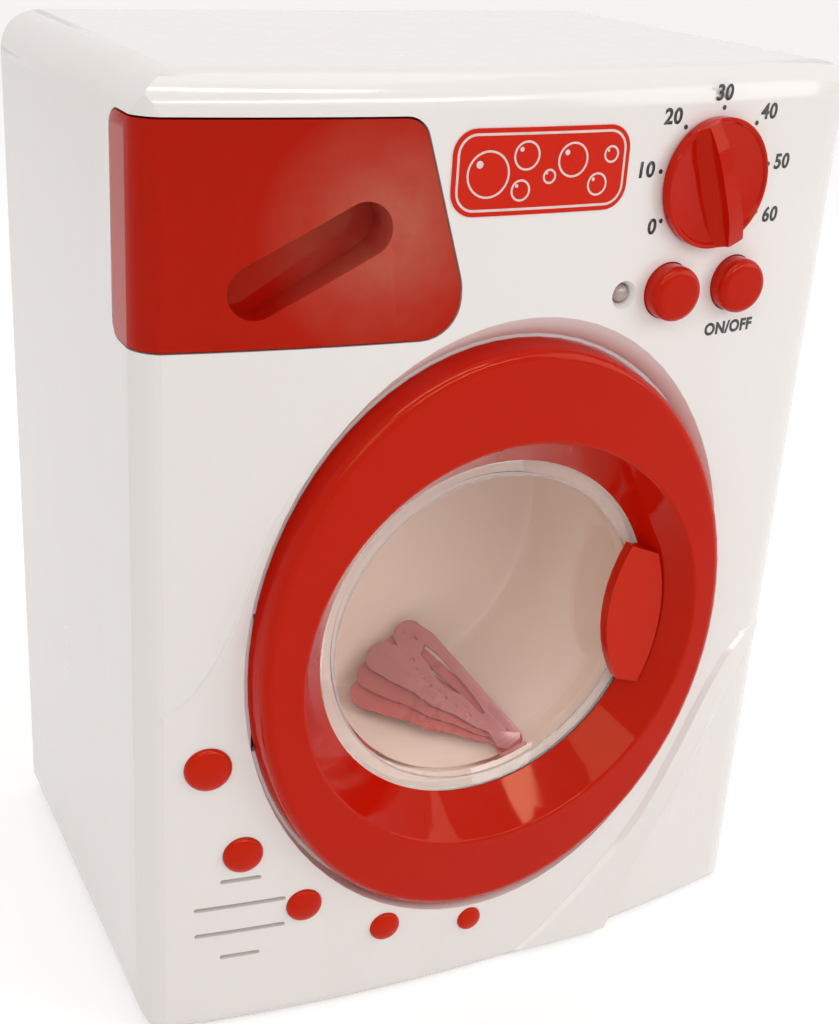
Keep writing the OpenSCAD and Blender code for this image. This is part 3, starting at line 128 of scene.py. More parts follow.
def mergedCopy(node, name, dissolve=0.4):
    obj = bpy.data.objects.new(name, nodes[node].data.copy())
    obj.data.name = name
    bpy.context.scene.collection.objects.link(obj)
    pick(obj)
    bpy.ops.object.mode_set(mode="EDIT")
    bpy.ops.mesh.select_all(action="SELECT")
    bpy.ops.mesh.customdata_custom_splitnormals_clear()
    bpy.ops.mesh.remove_doubles(threshold=0.000002)
    bpy.ops.mesh.dissolve_limited(angle_limit=math.radians(dissolve))
    bpy.ops.object.mode_set(mode="OBJECT")
    return obj


# Camera, as it stood for the photograph
camera = {"place": (-0.191848, -0.37253, 0.300773), "turn": (0.397, -0.439, -0.041),
          "focal": 1485.9, "middle": (363.46, 476.76), "image": (839, 1024)}


def makeCamera(c):
    turn = Vector(c["turn"])
    spin = Matrix.Rotation(turn.length, 3, turn.normalized())
    rows = spin @ Matrix(((1, 0, 0), (0, 0, -1), (0, 1, 0)))
    right, down, ahead = (Vector(r) for r in rows)
    data = bpy.data.cameras.new("photoCamera")
    obj = bpy.data.objects.new("photoCamera", data)
    bpy.context.scene.collection.objects.link(obj)
    w, h = c["image"]
    data.sensor_fit = "VERTICAL"
    data.sensor_height = 36
    data.lens = c["focal"] * 36 / h
    data.shift_x = (w / 2 - c["middle"][0]) / h
    data.shift_y = (c["middle"][1] - h / 2) / h
    data.clip_start = 0.01
    data.clip_end = 20
    m = Matrix((right, -down, -ahead)).transposed().to_4x4()
    m.translation = Vector(c["place"])
    obj.matrix_world = m
    bpy.context.scene.camera = obj
    return obj


makeCamera(camera)
print("camera ready")

# Shared shader groups
skinDepth = 0.0002  # height of the moulded ripple, in metres


def newGroup(name, inputs, outputs):
    group = bpy.data.node_groups.new(name, "ShaderNodeTree")
    for label, kind, value in inputs:
        s = group.interface.new_socket(name=label, in_out="INPUT", socket_type=kind)
        s.default_value = value
    for label, kind in outputs:
        group.interface.new_socket(name=label, in_out="OUTPUT", socket_type=kind)
    start = group.nodes.new("NodeGroupInput")
    end = group.nodes.new("NodeGroupOutput")
    return group, start, end


def add(tree, kind, **values):
    n = tree.nodes.new(kind)
    for k, v in values.items():
        setattr(n, k, v)
    return n


def mathNode(tree, operation, a, b=None, clamp=False):
    n = add(tree, "ShaderNodeMath", operation=operation, use_clamp=clamp)
    for i, v in enumerate((a, b)):
        if v is None:
            continue
        if isinstance(v, (int, float)):
            n.inputs[i].default_value = v
        else:
            tree.links.new(v, n.inputs[i])
    return n.outputs[0]


def spread(tree, value, low, high, outLow, outHigh):
    n = add(tree, "ShaderNodeMapRange")
    tree.links.new(value, n.inputs["Value"])
    for key, v in (("From Min", low), ("From Max", high), ("To Min", outLow), ("To Max", outHigh)):
        if isinstance(v, (int, float)):
            n.inputs[key].default_value = v
        else:
            tree.links.new(v, n.inputs[key])
    return n.outputs["Result"]


def noise(tree, vector, scale, detail=3.0, rough=0.5):
    n = add(tree, "ShaderNodeTexNoise")
    tree.links.new(vector, n.inputs["Vector"])
    n.inputs["Detail"].default_value = detail
    n.inputs["Roughness"].default_value = rough
    if isinstance(scale, (int, float)):
        n.inputs["Scale"].default_value = scale
    else:
        tree.links.new(scale, n.inputs["Scale"])
    return n.outputs["Fac"]


def makeDriftGroup():
    g, start, end = newGroup("colourDrift", [("Colour", "NodeSocketColor", (0.8, 0.8, 0.8, 1)),
                                             ("Second Colour", "NodeSocketColor", (0.7, 0.7, 0.7, 1)),
                                             ("Patch Scale", "NodeSocketFloat", 30.0),
                                             ("Amount", "NodeSocketFloat", 0.5)],
                             [("Colour", "NodeSocketColor")])
    place = add(g, "ShaderNodeTexCoord")
    broad = noise(g, place.outputs["Object"], start.outputs["Patch Scale"], 2.0)
    fine = noise(g, place.outputs["Object"], mathNode(g, "MULTIPLY", start.outputs["Patch Scale"], 9.0), 4.0)
    blended = mathNode(g, "ADD", mathNode(g, "MULTIPLY", broad, 0.7), mathNode(g, "MULTIPLY", fine, 0.3))
    patches = spread(g, blended, 0.35, 0.65, 0.0, 1.0)
    share = mathNode(g, "MULTIPLY", patches, start.outputs["Amount"], clamp=True)
    mix = add(g, "ShaderNodeMix", data_type="RGBA")
    g.links.new(share, mix.inputs[0])
    g.links.new(start.outputs["Colour"], mix.inputs[6])
    g.links.new(start.outputs["Second Colour"], mix.inputs[7])
    g.links.new(mix.outputs[2], end.inputs["Colour"])
    return g


def makeHandlingGroup():
    g, start, end = newGroup("handlingMarks", [("Polished", "NodeSocketFloat", 0.15),
                                               ("Dulled", "NodeSocketFloat", 0.35),
                                               ("Smear Scale", "NodeSocketFloat", 40.0)],
                             [("Roughness", "NodeSocketFloat"), ("Scratch", "NodeSocketFloat")])
    place = add(g, "ShaderNodeTexCoord")
    smear = noise(g, place.outputs["Object"], start.outputs["Smear Scale"], 5.0, 0.6)
    finer = mathNode(g, "MULTIPLY", start.outputs["Smear Scale"], 14.0)
    speck = noise(g, place.outputs["Object"], finer, 2.0)
    both = mathNode(g, "ADD", mathNode(g, "MULTIPLY", smear, 0.75), mathNode(g, "MULTIPLY", speck, 0.25))
    wave = add(g, "ShaderNodeTexWave", wave_type="BANDS", bands_direction="DIAGONAL")
    g.links.new(place.outputs["Object"], wave.inputs["Vector"])
    wave.inputs["Scale"].default_value = 60.0
    wave.inputs["Distortion"].default_value = 26.0
    wave.inputs["Detail"].default_value = 3.0
    wave.inputs["Detail Scale"].default_value = 2.0
    line = mathNode(g, "GREATER_THAN", wave.outputs["Fac"], 0.993)
    part = mathNode(g, "GREATER_THAN", smear, 0.6)
    scratch = mathNode(g, "MULTIPLY", line, part)
    rough = spread(g, both, 0.35, 0.68, start.outputs["Polished"], start.outputs["Dulled"])
    g.links.new(mathNode(g, "ADD", rough, mathNode(g, "MULTIPLY", scratch, 0.08), clamp=True),
                end.inputs["Roughness"])
    g.links.new(scratch, end.inputs["Scratch"])
    return g


def makeSkinGroup():
    g, start, end = newGroup("mouldedSkin", [("Ripple Scale", "NodeSocketFloat", 60.0),
                                             ("Grain Scale", "NodeSocketFloat", 1800.0),
                                             ("Grain Share", "NodeSocketFloat", 0.2)],
                             [("Height", "NodeSocketFloat")])
    place = add(g, "ShaderNodeTexCoord")
    ripple = noise(g, place.outputs["Object"], start.outputs["Ripple Scale"], 1.0)
    grain = noise(g, place.outputs["Object"], start.outputs["Grain Scale"], 2.0)
    share = start.outputs["Grain Share"]
    g.links.new(mathNode(g, "ADD", ripple, mathNode(g, "MULTIPLY", grain, share)), end.inputs["Height"])
    return g


def makeDustGroup():
    g, start, end = newGroup("settledDust", [("Amount", "NodeSocketFloat", 0.2)],
                             [("Mask", "NodeSocketFloat")])
    shape = add(g, "ShaderNodeNewGeometry")
    parts = add(g, "ShaderNodeSeparateXYZ")
    g.links.new(shape.outputs["Normal"], parts.inputs[0])
    place = add(g, "ShaderNodeTexCoord")
    cloud = noise(g, place.outputs["Object"], 55.0, 5.0, 0.65)
    up = spread(g, parts.outputs["Z"], 0.5, 1.0, 0.0, 1.0)
    patchy = spread(g, cloud, 0.45, 0.75, 0.0, 1.0)
    lying = mathNode(g, "MULTIPLY", up, patchy)
    g.links.new(mathNode(g, "MULTIPLY", lying, start.outputs["Amount"], clamp=True), end.inputs["Mask"])
    return g


def makeWearGroup():
    g, start, end = newGroup("edgeWear", [("Reach", "NodeSocketFloat", 0.54)], [("Mask", "NodeSocketFloat")])
    shape = add(g, "ShaderNodeNewGeometry")
    place = add(g, "ShaderNodeTexCoord")
    ragged = noise(g, place.outputs["Object"], 400.0, 3.0)
    edge = spread(g, shape.outputs["Pointiness"], start.outputs["Reach"], 0.62, 0.0, 1.0)
    g.links.new(mathNode(g, "MULTIPLY", edge, ragged, clamp=True), end.inputs["Mask"])
    return g


driftGroup = makeDriftGroup()
handlingGroup = makeHandlingGroup()
skinGroup = makeSkinGroup()
dustGroup = makeDustGroup()
wearGroup = makeWearGroup()


def placeGroup(tree, group, **values):
    n = tree.nodes.new("ShaderNodeGroup")
    n.node_tree = group
    for k, v in values.items():
        n.inputs[k.replace("_", " ")].default_value = v
    return n


def mixColour(tree, share, a, b):
    mix = add(tree, "ShaderNodeMix", data_type="RGBA")
    if isinstance(share, (int, float)):
        mix.inputs[0].default_value = share
    else:
        tree.links.new(share, mix.inputs[0])
    for i, v in ((6, a), (7, b)):
        if isinstance(v, tuple):
            mix.inputs[i].default_value = v
        else:
            tree.links.new(v, mix.inputs[i])
    return mix.outputs[2]


def rgba(c):
    return (c[0], c[1], c[2], 1.0)


def plastic(name, look):
    mat = bpy.data.materials.new(name)
    mat.use_nodes = True
    t = mat.node_tree
    shader = t.nodes["Principled BSDF"]
    drift = placeGroup(t, driftGroup, Colour=rgba(look["colour"]), Second_Colour=rgba(look["second"]),
                       Patch_Scale=look.get("patch", 25.0), Amount=look.get("drift", 0.5))
    marks = placeGroup(t, handlingGroup, Polished=look["polished"], Dulled=look["dulled"],
                       Smear_Scale=look.get("smear", 35.0))
    skin = placeGroup(t, skinGroup, Ripple_Scale=look.get("ripple", 55.0),
                      Grain_Scale=look.get("grain", 1800.0), Grain_Share=look.get("grainShare", 0.15))
    dust = placeGroup(t, dustGroup, Amount=look.get("dust", 0.1))
    wear = placeGroup(t, wearGroup, Reach=look.get("wearReach", 0.53))
    base = mixColour(t, wear.outputs["Mask"], drift.outputs["Colour"], rgba(look["worn"]))
    base = mixColour(t, dust.outputs["Mask"], base, (0.62, 0.57, 0.53, 1.0))
    t.links.new(base, shader.inputs["Base Color"])
    rough = mathNode(t, "ADD", marks.outputs["Roughness"],
                     mathNode(t, "MULTIPLY", dust.outputs["Mask"], 0.4), clamp=True)
    t.links.new(rough, shader.inputs["Roughness"])
    bump = add(t, "ShaderNodeBump")
    bump.inputs["Strength"].default_value = look.get("bump", 0.12)
    bump.inputs["Distance"].default_value = skinDepth
    t.links.new(skin.outputs["Height"], bump.inputs["Height"])
    t.links.new(bump.outputs["Normal"], shader.inputs["Normal"])
    shader.inputs["IOR"].default_value = look.get("ior", 1.5)
    shader.inputs["Specular IOR Level"].default_value = look.get("shine", 0.5)
    shader.inputs["Specular Tint"].default_value = rgba(look.get("sheen", (1.0, 1.0, 1.0)))
    shader.inputs["Coat Weight"].default_value = look.get("coat", 0.0)
    shader.inputs["Coat Roughness"].default_value = 0.06
    if look.get("glow"):
        shader.inputs["Subsurface Weight"].default_value = look["glow"]
        shader.inputs["Subsurface Radius"].default_value = (1.0, 0.6, 0.5)
        shader.inputs["Subsurface Scale"].default_value = 0.0015
    return mat


def metal(name, look):
    mat = bpy.data.materials.new(name)
    mat.use_nodes = True
    t = mat.node_tree
    shader = t.nodes["Principled BSDF"]
    shader.inputs["Metallic"].default_value = 1.0
    drift = placeGroup(t, driftGroup, Colour=rgba(look["colour"]), Second_Colour=rgba(look["second"]),
                       Patch_Scale=90.0, Amount=0.7)
    marks = placeGroup(t, handlingGroup, Polished=look["polished"], Dulled=look["dulled"], Smear_Scale=120.0)
    t.links.new(drift.outputs["Colour"], shader.inputs["Base Color"])
    t.links.new(marks.outputs["Roughness"], shader.inputs["Roughness"])
    place = add(t, "ShaderNodeTexCoord")
    stretch = add(t, "ShaderNodeMapping")
    stretch.inputs["Scale"].default_value = look.get("brush", (1.0, 0.05, 1.0))
    t.links.new(place.outputs["Object"], stretch.inputs["Vector"])
    bump = add(t, "ShaderNodeBump")
    bump.inputs["Strength"].default_value = 0.15
    bump.inputs["Distance"].default_value = skinDepth / 2
    t.links.new(noise(t, stretch.outputs["Vector"], 3000.0, 3.0), bump.inputs["Height"])
    t.links.new(bump.outputs["Normal"], shader.inputs["Normal"])
    return mat


def clearPlastic(name, look):
    mat = bpy.data.materials.new(name)
    mat.use_nodes = True
    t = mat.node_tree
    shader = t.nodes["Principled BSDF"]
    shader.inputs["Transmission Weight"].default_value = look["through"]
    shader.inputs["IOR"].default_value = look["ior"]
    drift = placeGroup(t, driftGroup, Colour=rgba(look["colour"]), Second_Colour=rgba(look["second"]),
                       Patch_Scale=20.0, Amount=0.6)
    marks = placeGroup(t, handlingGroup, Polished=look["polished"], Dulled=look["dulled"], Smear_Scale=45.0)
    skin = placeGroup(t, skinGroup, Ripple_Scale=30.0, Grain_Scale=1500.0, Grain_Share=0.0)
    path = add(t, "ShaderNodeLightPath")
    t.links.new(spread(t, path.outputs["Is Shadow Ray"], 0, 1, 1.0, look["shade"]), shader.inputs["Alpha"])
    t.links.new(drift.outputs["Colour"], shader.inputs["Base Color"])
    t.links.new(marks.outputs["Roughness"], shader.inputs["Roughness"])
    bump = add(t, "ShaderNodeBump")
    bump.inputs["Strength"].default_value = 0.03
    bump.inputs["Distance"].default_value = skinDepth
    t.links.new(skin.outputs["Height"], bump.inputs["Height"])
    t.links.new(bump.outputs["Normal"], shader.inputs["Normal"])
    return mat


# Finishes, one for each material slot
whiteLook = {"colour": (0.875, 0.835, 0.805), "second": (0.86, 0.815, 0.78), "worn": (0.88, 0.845, 0.815),
             "polished": 0.12, "dulled": 0.20, "bump": 0.08, "glow": 0.12, "dust": 0.02, "patch": 12.0,
             "wearReach": 0.56}
redLook = {"colour": (0.54, 0.007, 0.0012), "second": (0.51, 0.006, 0.001), "worn": (0.58, 0.015, 0.004),
           "polished": 0.03, "dulled": 0.10, "bump": 0.06, "ior": 1.36, "shine": 0.36,
           "sheen": (1.0, 0.60, 0.32), "dust": 0.02, "patch": 22.0}
finishes = {
    "white_case": plastic("whiteCase", whiteLook),
    "white_part": plastic("whitePart", dict(whiteLook, patch=60.0, smear=90.0)),
    "red_ring": plastic("redRing", redLook),
    "red_part": plastic("redPart", dict(redLook, patch=60.0, smear=80.0)),
    "clear_window": clearPlastic("clearWindow", {"colour": (0.99, 0.975, 0.965),
                                                 "second": (0.98, 0.955, 0.945), "through": 1.0,
                                                 "ior": 1.30, "polished": 0.0, "dulled": 0.02,
                                                 "shade": 0.06}),
    "cream_drum": plastic("creamDrum", {"colour": (0.92, 0.765, 0.665), "second": (0.90, 0.74, 0.635),
                                        "worn": (0.93, 0.79, 0.69), "polished": 0.4, "dulled": 0.55,
                                        "grain": 900.0, "grainShare": 0.02, "bump": 0.03, "dust": 0.05}),
    "cream_part": plastic("creamPart", {"colour": (0.66, 0.58, 0.49), "second": (0.60, 0.52, 0.43),
                                        "worn": (0.72, 0.66, 0.58), "polished": 0.3, "dulled": 0.5}),
    "label_print": plastic("labelPrint", {"colour": (0.66, 0.016, 0.006), "second": (0.63, 0.014, 0.005),
                                          "worn": (0.6, 0.05, 0.04), "polished": 0.2, "dulled": 0.3,
                                          "bump": 0.03, "patch": 80.0, "shine": 0.2,
                                          "sheen": (1.0, 0.62, 0.36)}),
    "steel": metal("plainSteel", {"colour": (0.56, 0.56, 0.56), "second": (0.46, 0.45, 0.44),
                                  "polished": 0.22, "dulled": 0.42}),
    "screw_steel": metal("screwSteel", {"colour": (0.50, 0.50, 0.50), "second": (0.38, 0.37, 0.36),
                                        "polished": 0.25, "dulled": 0.5, "brush": (1.0, 1.0, 0.1)}),
    "brass": metal("bushBrass", {"colour": (0.70, 0.52, 0.24), "second": (0.60, 0.42, 0.18),
                                 "polished": 0.2, "dulled": 0.4}),
    "black_part": plastic("blackPart", {"colour": (0.02, 0.02, 0.021), "second": (0.03, 0.03, 0.03),
                                        "worn": (0.08, 0.08, 0.08), "polished": 0.4, "dulled": 0.6,
                                        "grainShare": 0.5, "bump": 0.2}),
    "board_green": plastic("boardGreen", {"colour": (0.03, 0.16, 0.06), "second": (0.05, 0.22, 0.08),
                                          "worn": (0.4, 0.36, 0.2), "polished": 0.25, "dulled": 0.4,
                                          "patch": 200.0}),
    "light_lens": plastic("lightLens", {"colour": (0.40, 0.31, 0.28), "second": (0.62, 0.52, 0.48),
                                        "worn": (0.70, 0.62, 0.58), "polished": 0.05, "dulled": 0.12,
                                        "glow": 0.5, "coat": 0.5, "patch": 300.0}),
    "cone_paper": plastic("conePaper", {"colour": (0.035, 0.033, 0.03), "second": (0.055, 0.05, 0.045),
                                        "worn": (0.1, 0.1, 0.1), "polished": 0.75, "dulled": 0.9,
                                        "grainShare": 0.9, "bump": 0.5}),
    "pink_toy": plastic("pinkToy", {"colour": (0.50, 0.18, 0.185), "second": (0.44, 0.15, 0.155),
                                    "worn": (0.60, 0.29, 0.30), "polished": 0.22, "dulled": 0.35,
                                    "patch": 60.0, "glow": 0.1}),
}
slotOf = {part["node"]: part["material_slot"] for part in frame["record"]["subparts"]}
for name, obj in nodes.items():
    if not obj.material_slots:
        obj.data.materials.append(finishes[slotOf[name]])
    for s in obj.material_slots:
        s.material = finishes[slotOf[name]]
print("finishes on", len(nodes), "nodes")

# Moulded edges: rounding in millimetres, the angle from which an edge counts as sharp, and the body
edgeLooks = {
    "front_panel": (0.35, 35, "case"), "rear_shell": (0.35, 35, "case"),
    "drawer_front": (0.5, 35, "drawer"), "drawer_tray": (0.3, 35, "drawer"),
    "door_ring": (0.35, 35, "door"), "door_handle": (0.55, 35, "door"),
    "door_window": (0.0, 35, "door"), "window_retainer": (0.2, 35, "door"),
    "hinge_arms": (0.3, 35, "door"), "knob": (0.4, 30, "knob"),
    "left_button": (0.3, 35, "left_button"), "power_button": (0.3, 35, "power_button"),
    "drum": (0.3, 35, "drum"), "battery_cover": (0.3, 35, "battery_cover"),
    "front_label": (0.1, 30, "case"), "led": (0.0, 35, "case"),
}
edgeLooks.update({"accent_stud_%d" % k: (0.0, 35, "case") for k in range(1, 6)})  # domed already


def softenEdges(node, width, degrees, body):
    parts = node.split("_")
    obj = mergedCopy(node, parts[0] + "".join(w.capitalize() for w in parts[1:]))
    if node == "knob":
        archFin(obj, fin)
    if width:
        roundEdges(obj, width * mm, 2, degrees)
        applyAll(obj)
    smoothBy(obj, 28)
    weighNormals(obj)
    finish(obj, finishes[slotOf[node]], body)
    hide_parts(node)
    return obj


# Knob: the fin's crest arches down to the rim at both ends
fin = {"middle": (0.0478, 0.2303), "radius": 0.0164, "angle": 112.0, "foot": 0.0030, "share": 0.80,
       "fall": 0.5, "start": 0.25, "cuts": 8}


def archFin(obj, d):
    x, z = d["middle"]
    tilt = math.asin(x / bow["radius"])
    out = Vector((math.sin(tilt), -math.cos(tilt), 0.0))
    side = Vector((math.cos(tilt), math.sin(tilt), 0.0))
    turn = math.radians(d["angle"])
    along = side * math.cos(turn) + Vector((0, 0, 1)) * math.sin(turn)
    middle = Vector((x, frontY(x), z))
    pick(obj)
    bpy.ops.object.mode_set(mode="EDIT")
    for i in range(-d["cuts"], d["cuts"] + 1):  # rows of points across the fin
        bpy.ops.mesh.select_all(action="SELECT")
        bpy.ops.mesh.bisect(plane_co=middle + along * (d["radius"] * i / (d["cuts"] + 0.5)), plane_no=along)
    bpy.ops.mesh.select_all(action="DESELECT")
    bpy.ops.object.mode_set(mode="OBJECT")
    for v in obj.data.vertices:
        offset = v.co - middle
        height = offset.dot(out) - d["foot"]
        if height > 0:  # the crest comes down more towards its ends
            reach = abs(offset.dot(along)) / d["radius"]
            t = min(max((reach - d["start"]) / (1 - d["start"]), 0.0), 1.0)
            v.co -= out * height * (1 - d["share"] * (1 - d["fall"] * t * t))
    return obj


for name, (width, degrees, body) in edgeLooks.items():
    softenEdges(name, width, degrees, body)
print("edges softened on", len(edgeLooks), "pieces")

# Drawer front: a soft pale haze where hands reach for the slot, partly scuffs and partly a painted reflection
scuffAndReflection = {"middle": (-0.044, -0.075, 0.2225), "reach": 0.030, "clear": 0.008, "colour": (0.52, 0.16, 0.11),
         "deep": (0.45, 0.004, 0.0008), "deeper": (0.42, 0.003, 0.0006), "amount": 0.62}


def paintScuffAndReflection(d):
    mat = plastic("scuffedRed", dict(redLook, colour=d["deep"], second=d["deeper"]))
    t = mat.node_tree
    shader = t.nodes["Principled BSDF"]
    place = add(t, "ShaderNodeTexCoord")
    away = add(t, "ShaderNodeVectorMath", operation="DISTANCE")
    t.links.new(place.outputs["Object"], away.inputs[0])
    away.inputs[1].default_value = d["middle"]
    # the pale patch round the slot: scuffs together with a painted reflection
    near = spread(t, away.outputs["Value"], d["reach"], d["clear"], 0.0, d["amount"])
    cloudy = spread(t, noise(t, place.outputs["Object"], 60.0, 5.0, 0.6), 0.3, 0.65, 0.35, 1.0)
    share = mathNode(t, "MULTIPLY", near, cloudy)
    plain = shader.inputs["Base Color"].links[0].from_socket
    t.links.new(mixColour(t, share, plain, rgba(d["colour"])), shader.inputs["Base Color"])
    smooth = shader.inputs["Roughness"].links[0].from_socket
    t.links.new(mathNode(t, "ADD", smooth, mathNode(t, "MULTIPLY", share, 0.35), clamp=True),
                shader.inputs["Roughness"])
    bpy.data.objects["drawerFront"].data.materials[0] = mat


paintScuffAndReflection(scuffAndReflection)
print("drawer scuffed")

# Studs and handle: a lighter copy of the same red, painted light for how brightly they are lit
paintedLitRed = plastic("lighterRed", dict(redLook, colour=(0.60, 0.012, 0.002), second=(0.57, 0.010, 0.0015)))
for name in ["doorHandle"] + ["accentStud%d" % k for k in range(1, 6)]:
    bpy.data.objects[name].data.materials[0] = paintedLitRed

# Printed marks on the front
marksLook = {"colour": (0.012, 0.011, 0.012), "second": (0.022, 0.02, 0.02), "worn": (0.05, 0.05, 0.05),
             "polished": 0.3, "dulled": 0.45, "bump": 0.03, "patch": 400.0, "dust": 0.0}
printBlack = plastic("printBlack", marksLook)
dial = {"middle": (0.0488, 0.2303), "dotReach": 0.0183, "dotRadius": 0.0006,
        "dotAngles": (209, 169, 130, 90, 50, 10.6, -29),
        "numbers": (("0", 0.0301, 0.2200), ("10", 0.0261, 0.2343), ("20", 0.0327, 0.2469),
                    ("30", 0.0483, 0.2521), ("40", 0.0644, 0.2469), ("50", 0.0716, 0.2339),
                    ("60", 0.0701, 0.2202)),
        "height": 0.0038, "lift": 0.00005, "ink": 0.00004}
switchWords = {"words": "ON/OFF", "place": (0.0609, 0.19085), "height": 0.0032, "bold": 0.06,
               "lift": 0.00005, "ink": 0.00004}


def printedText(words, x, z, height, name, bold=0.045, slant=0.06, spacing=1.08):
    deselect()
    bpy.ops.object.text_add(location=(0, 0, 0))
    obj = newest(name)
    obj.data.body = words
    obj.data.size = height * 1.38  # a capital is 1 / 1.38 of the text size
    obj.data.align_x = "CENTER"
    obj.data.align_y = "CENTER"
    obj.data.offset = bold * height
    obj.data.shear = slant
    obj.data.space_character = spacing
    obj.data.resolution_u = 6
    pick(obj)
    bpy.ops.object.convert(target="MESH")
    obj = bpy.context.active_object
    obj.rotation_euler = (math.radians(90), 0, 0)
    obj.location = (x, 0, z)
    return setPlace(obj)


def layOnFront(obj, lift, ink):  # ink of a given thickness, a hair ahead of the bowed front
    for v in obj.data.vertices:
        v.co.y = frontY(v.co.x) - lift
    s = obj.modifiers.new("ink", "SOLIDIFY")
    s.thickness = ink
    s.offset = -1
    applyAll(obj)
    return cleanNormals(obj)


def joinAll(objs, name):
    deselect()
    for o in objs:
        o.select_set(True)
    bpy.context.view_layer.objects.active = objs[0]
    if len(objs) > 1:
        bpy.ops.object.join()
    return newest(name)


def flatDot(x, z, radius, sides=24):
    deselect()
    bpy.ops.mesh.primitive_circle_add(vertices=sides, radius=radius, fill_type="NGON",
                                      location=(x, 0, z), rotation=(math.radians(90), 0, 0))
    return setPlace(newest("dot"))


def makeDialMarks(d):
    pieces = []
    for words, x, z in d["numbers"]:
        pieces.append(printedText(words, x, z, d["height"], "number" + words))
    for a in d["dotAngles"]:
        t = math.radians(a)
        pieces.append(flatDot(d["middle"][0] + d["dotReach"] * math.cos(t),
                              d["middle"][1] + d["dotReach"] * math.sin(t), d["dotRadius"]))
    marks = joinAll(pieces, "dialMarks")
    layOnFront(marks, d["lift"], d["ink"])
    return finish(marks, printBlack, "case")


def makeSwitchMarks(d):
    marks = printedText(d["words"], *d["place"], d["height"], "switchMarks", bold=d["bold"], slant=0.0)
    layOnFront(marks, d["lift"], d["ink"])
    return finish(marks, printBlack, "case")


makeDialMarks(dial)
makeSwitchMarks(switchWords)
print("marks printed")

# Label: a frame line and a few soap bubbles
labelInk = plastic("labelInk", {"colour": (0.80, 0.76, 0.73), "second": (0.76, 0.71, 0.68),
                                "worn": (0.7, 0.5, 0.46), "polished": 0.25, "dulled": 0.4,
                                "bump": 0.03, "patch": 90.0, "dust": 0.0})
label = {"low": (-0.0275, 0.2254), "high": (0.0205, 0.2458), "corner": 0.006, "inset": 0.0011, "line": 0.0006,
         "bubbles": ((-0.0182, 0.2352, 0.0056), (-0.0094, 0.2312, 0.0026), (-0.0083, 0.2393, 0.0035),
                     (-0.0018, 0.2342, 0.0018), (0.0044, 0.2379, 0.0042), (0.0118, 0.2318, 0.0028),
                     (0.0152, 0.2388, 0.0021)),
         "ring": 0.0005, "glint": 0.16, "glintOut": 0.42, "lift": 0.00031, "ink": 0.00003}


def closedLine(points, width, name):
    deselect()
    n = len(points)
    bpy.ops.mesh.primitive_circle_add(vertices=n, radius=0.01, fill_type="NOTHING")
    obj = newest(name)
    for v, p in zip(obj.data.vertices, points):
        v.co = (p[0], 0.0, p[1])
    bpy.ops.object.mode_set(mode="EDIT")
    bpy.ops.mesh.select_all(action="SELECT")
    bpy.ops.mesh.extrude_edges_move()
    bpy.ops.object.mode_set(mode="OBJECT")
    for i, v in enumerate(obj.data.vertices):
        if i >= n:  # the second row lies a line's width inside the first
            before, here, after = (Vector(points[(i + k) % n]) for k in (-1, 0, 1))
            along = (after - before).normalized()
            v.co = (here.x - along.y * width, 0.0, here.y + along.x * width)
    return obj


def arcPoints(x, y, r, start, end, steps):
    turns = [math.radians(start + (end - start) * i / steps) for i in range(steps + 1)]
    return [(x + r * math.cos(t), y + r * math.sin(t)) for t in turns]


def roundedFrame(low, high, r):
    points = []
    for x, z, start in ((high[0] - r, high[1] - r, 0), (low[0] + r, high[1] - r, 90),
                        (low[0] + r, low[1] + r, 180), (high[0] - r, low[1] + r, 270)):
        points += arcPoints(x, z, r, start, start + 90, 8)
    return points


def filledIn(points, gap=0.0015):  # short steps, so that a straight line follows the bow
    full = []
    for a, b in zip(points, points[1:] + points[:1]):
        steps = max(1, math.ceil(math.dist(a, b) / gap))
        full += [(a[0] + (b[0] - a[0]) * i / steps, a[1] + (b[1] - a[1]) * i / steps) for i in range(steps)]
    return full


def circlePoints(x, z, r, sides=40):
    turns = [math.tau * i / sides for i in range(sides)]
    return [(x + r * math.cos(t), z + r * math.sin(t)) for t in turns]


def printLabel(d):
    low = [c + d["inset"] for c in d["low"]]
    high = [c - d["inset"] for c in d["high"]]
    outline = filledIn(roundedFrame(low, high, d["corner"] - d["inset"]))
    pieces = [closedLine(outline, d["line"], "frameLine")]
    for x, z, r in d["bubbles"]:
        pieces.append(closedLine(circlePoints(x, z, r), d["ring"], "bubble"))
        out = d["glintOut"] * r
        pieces.append(flatDot(x - out, z + out, d["glint"] * r, 16))
    art = joinAll(pieces, "labelMarks")
    layOnFront(art, d["lift"], d["ink"])
    return finish(art, labelInk, "case")


printLabel(label)
print("label printed")

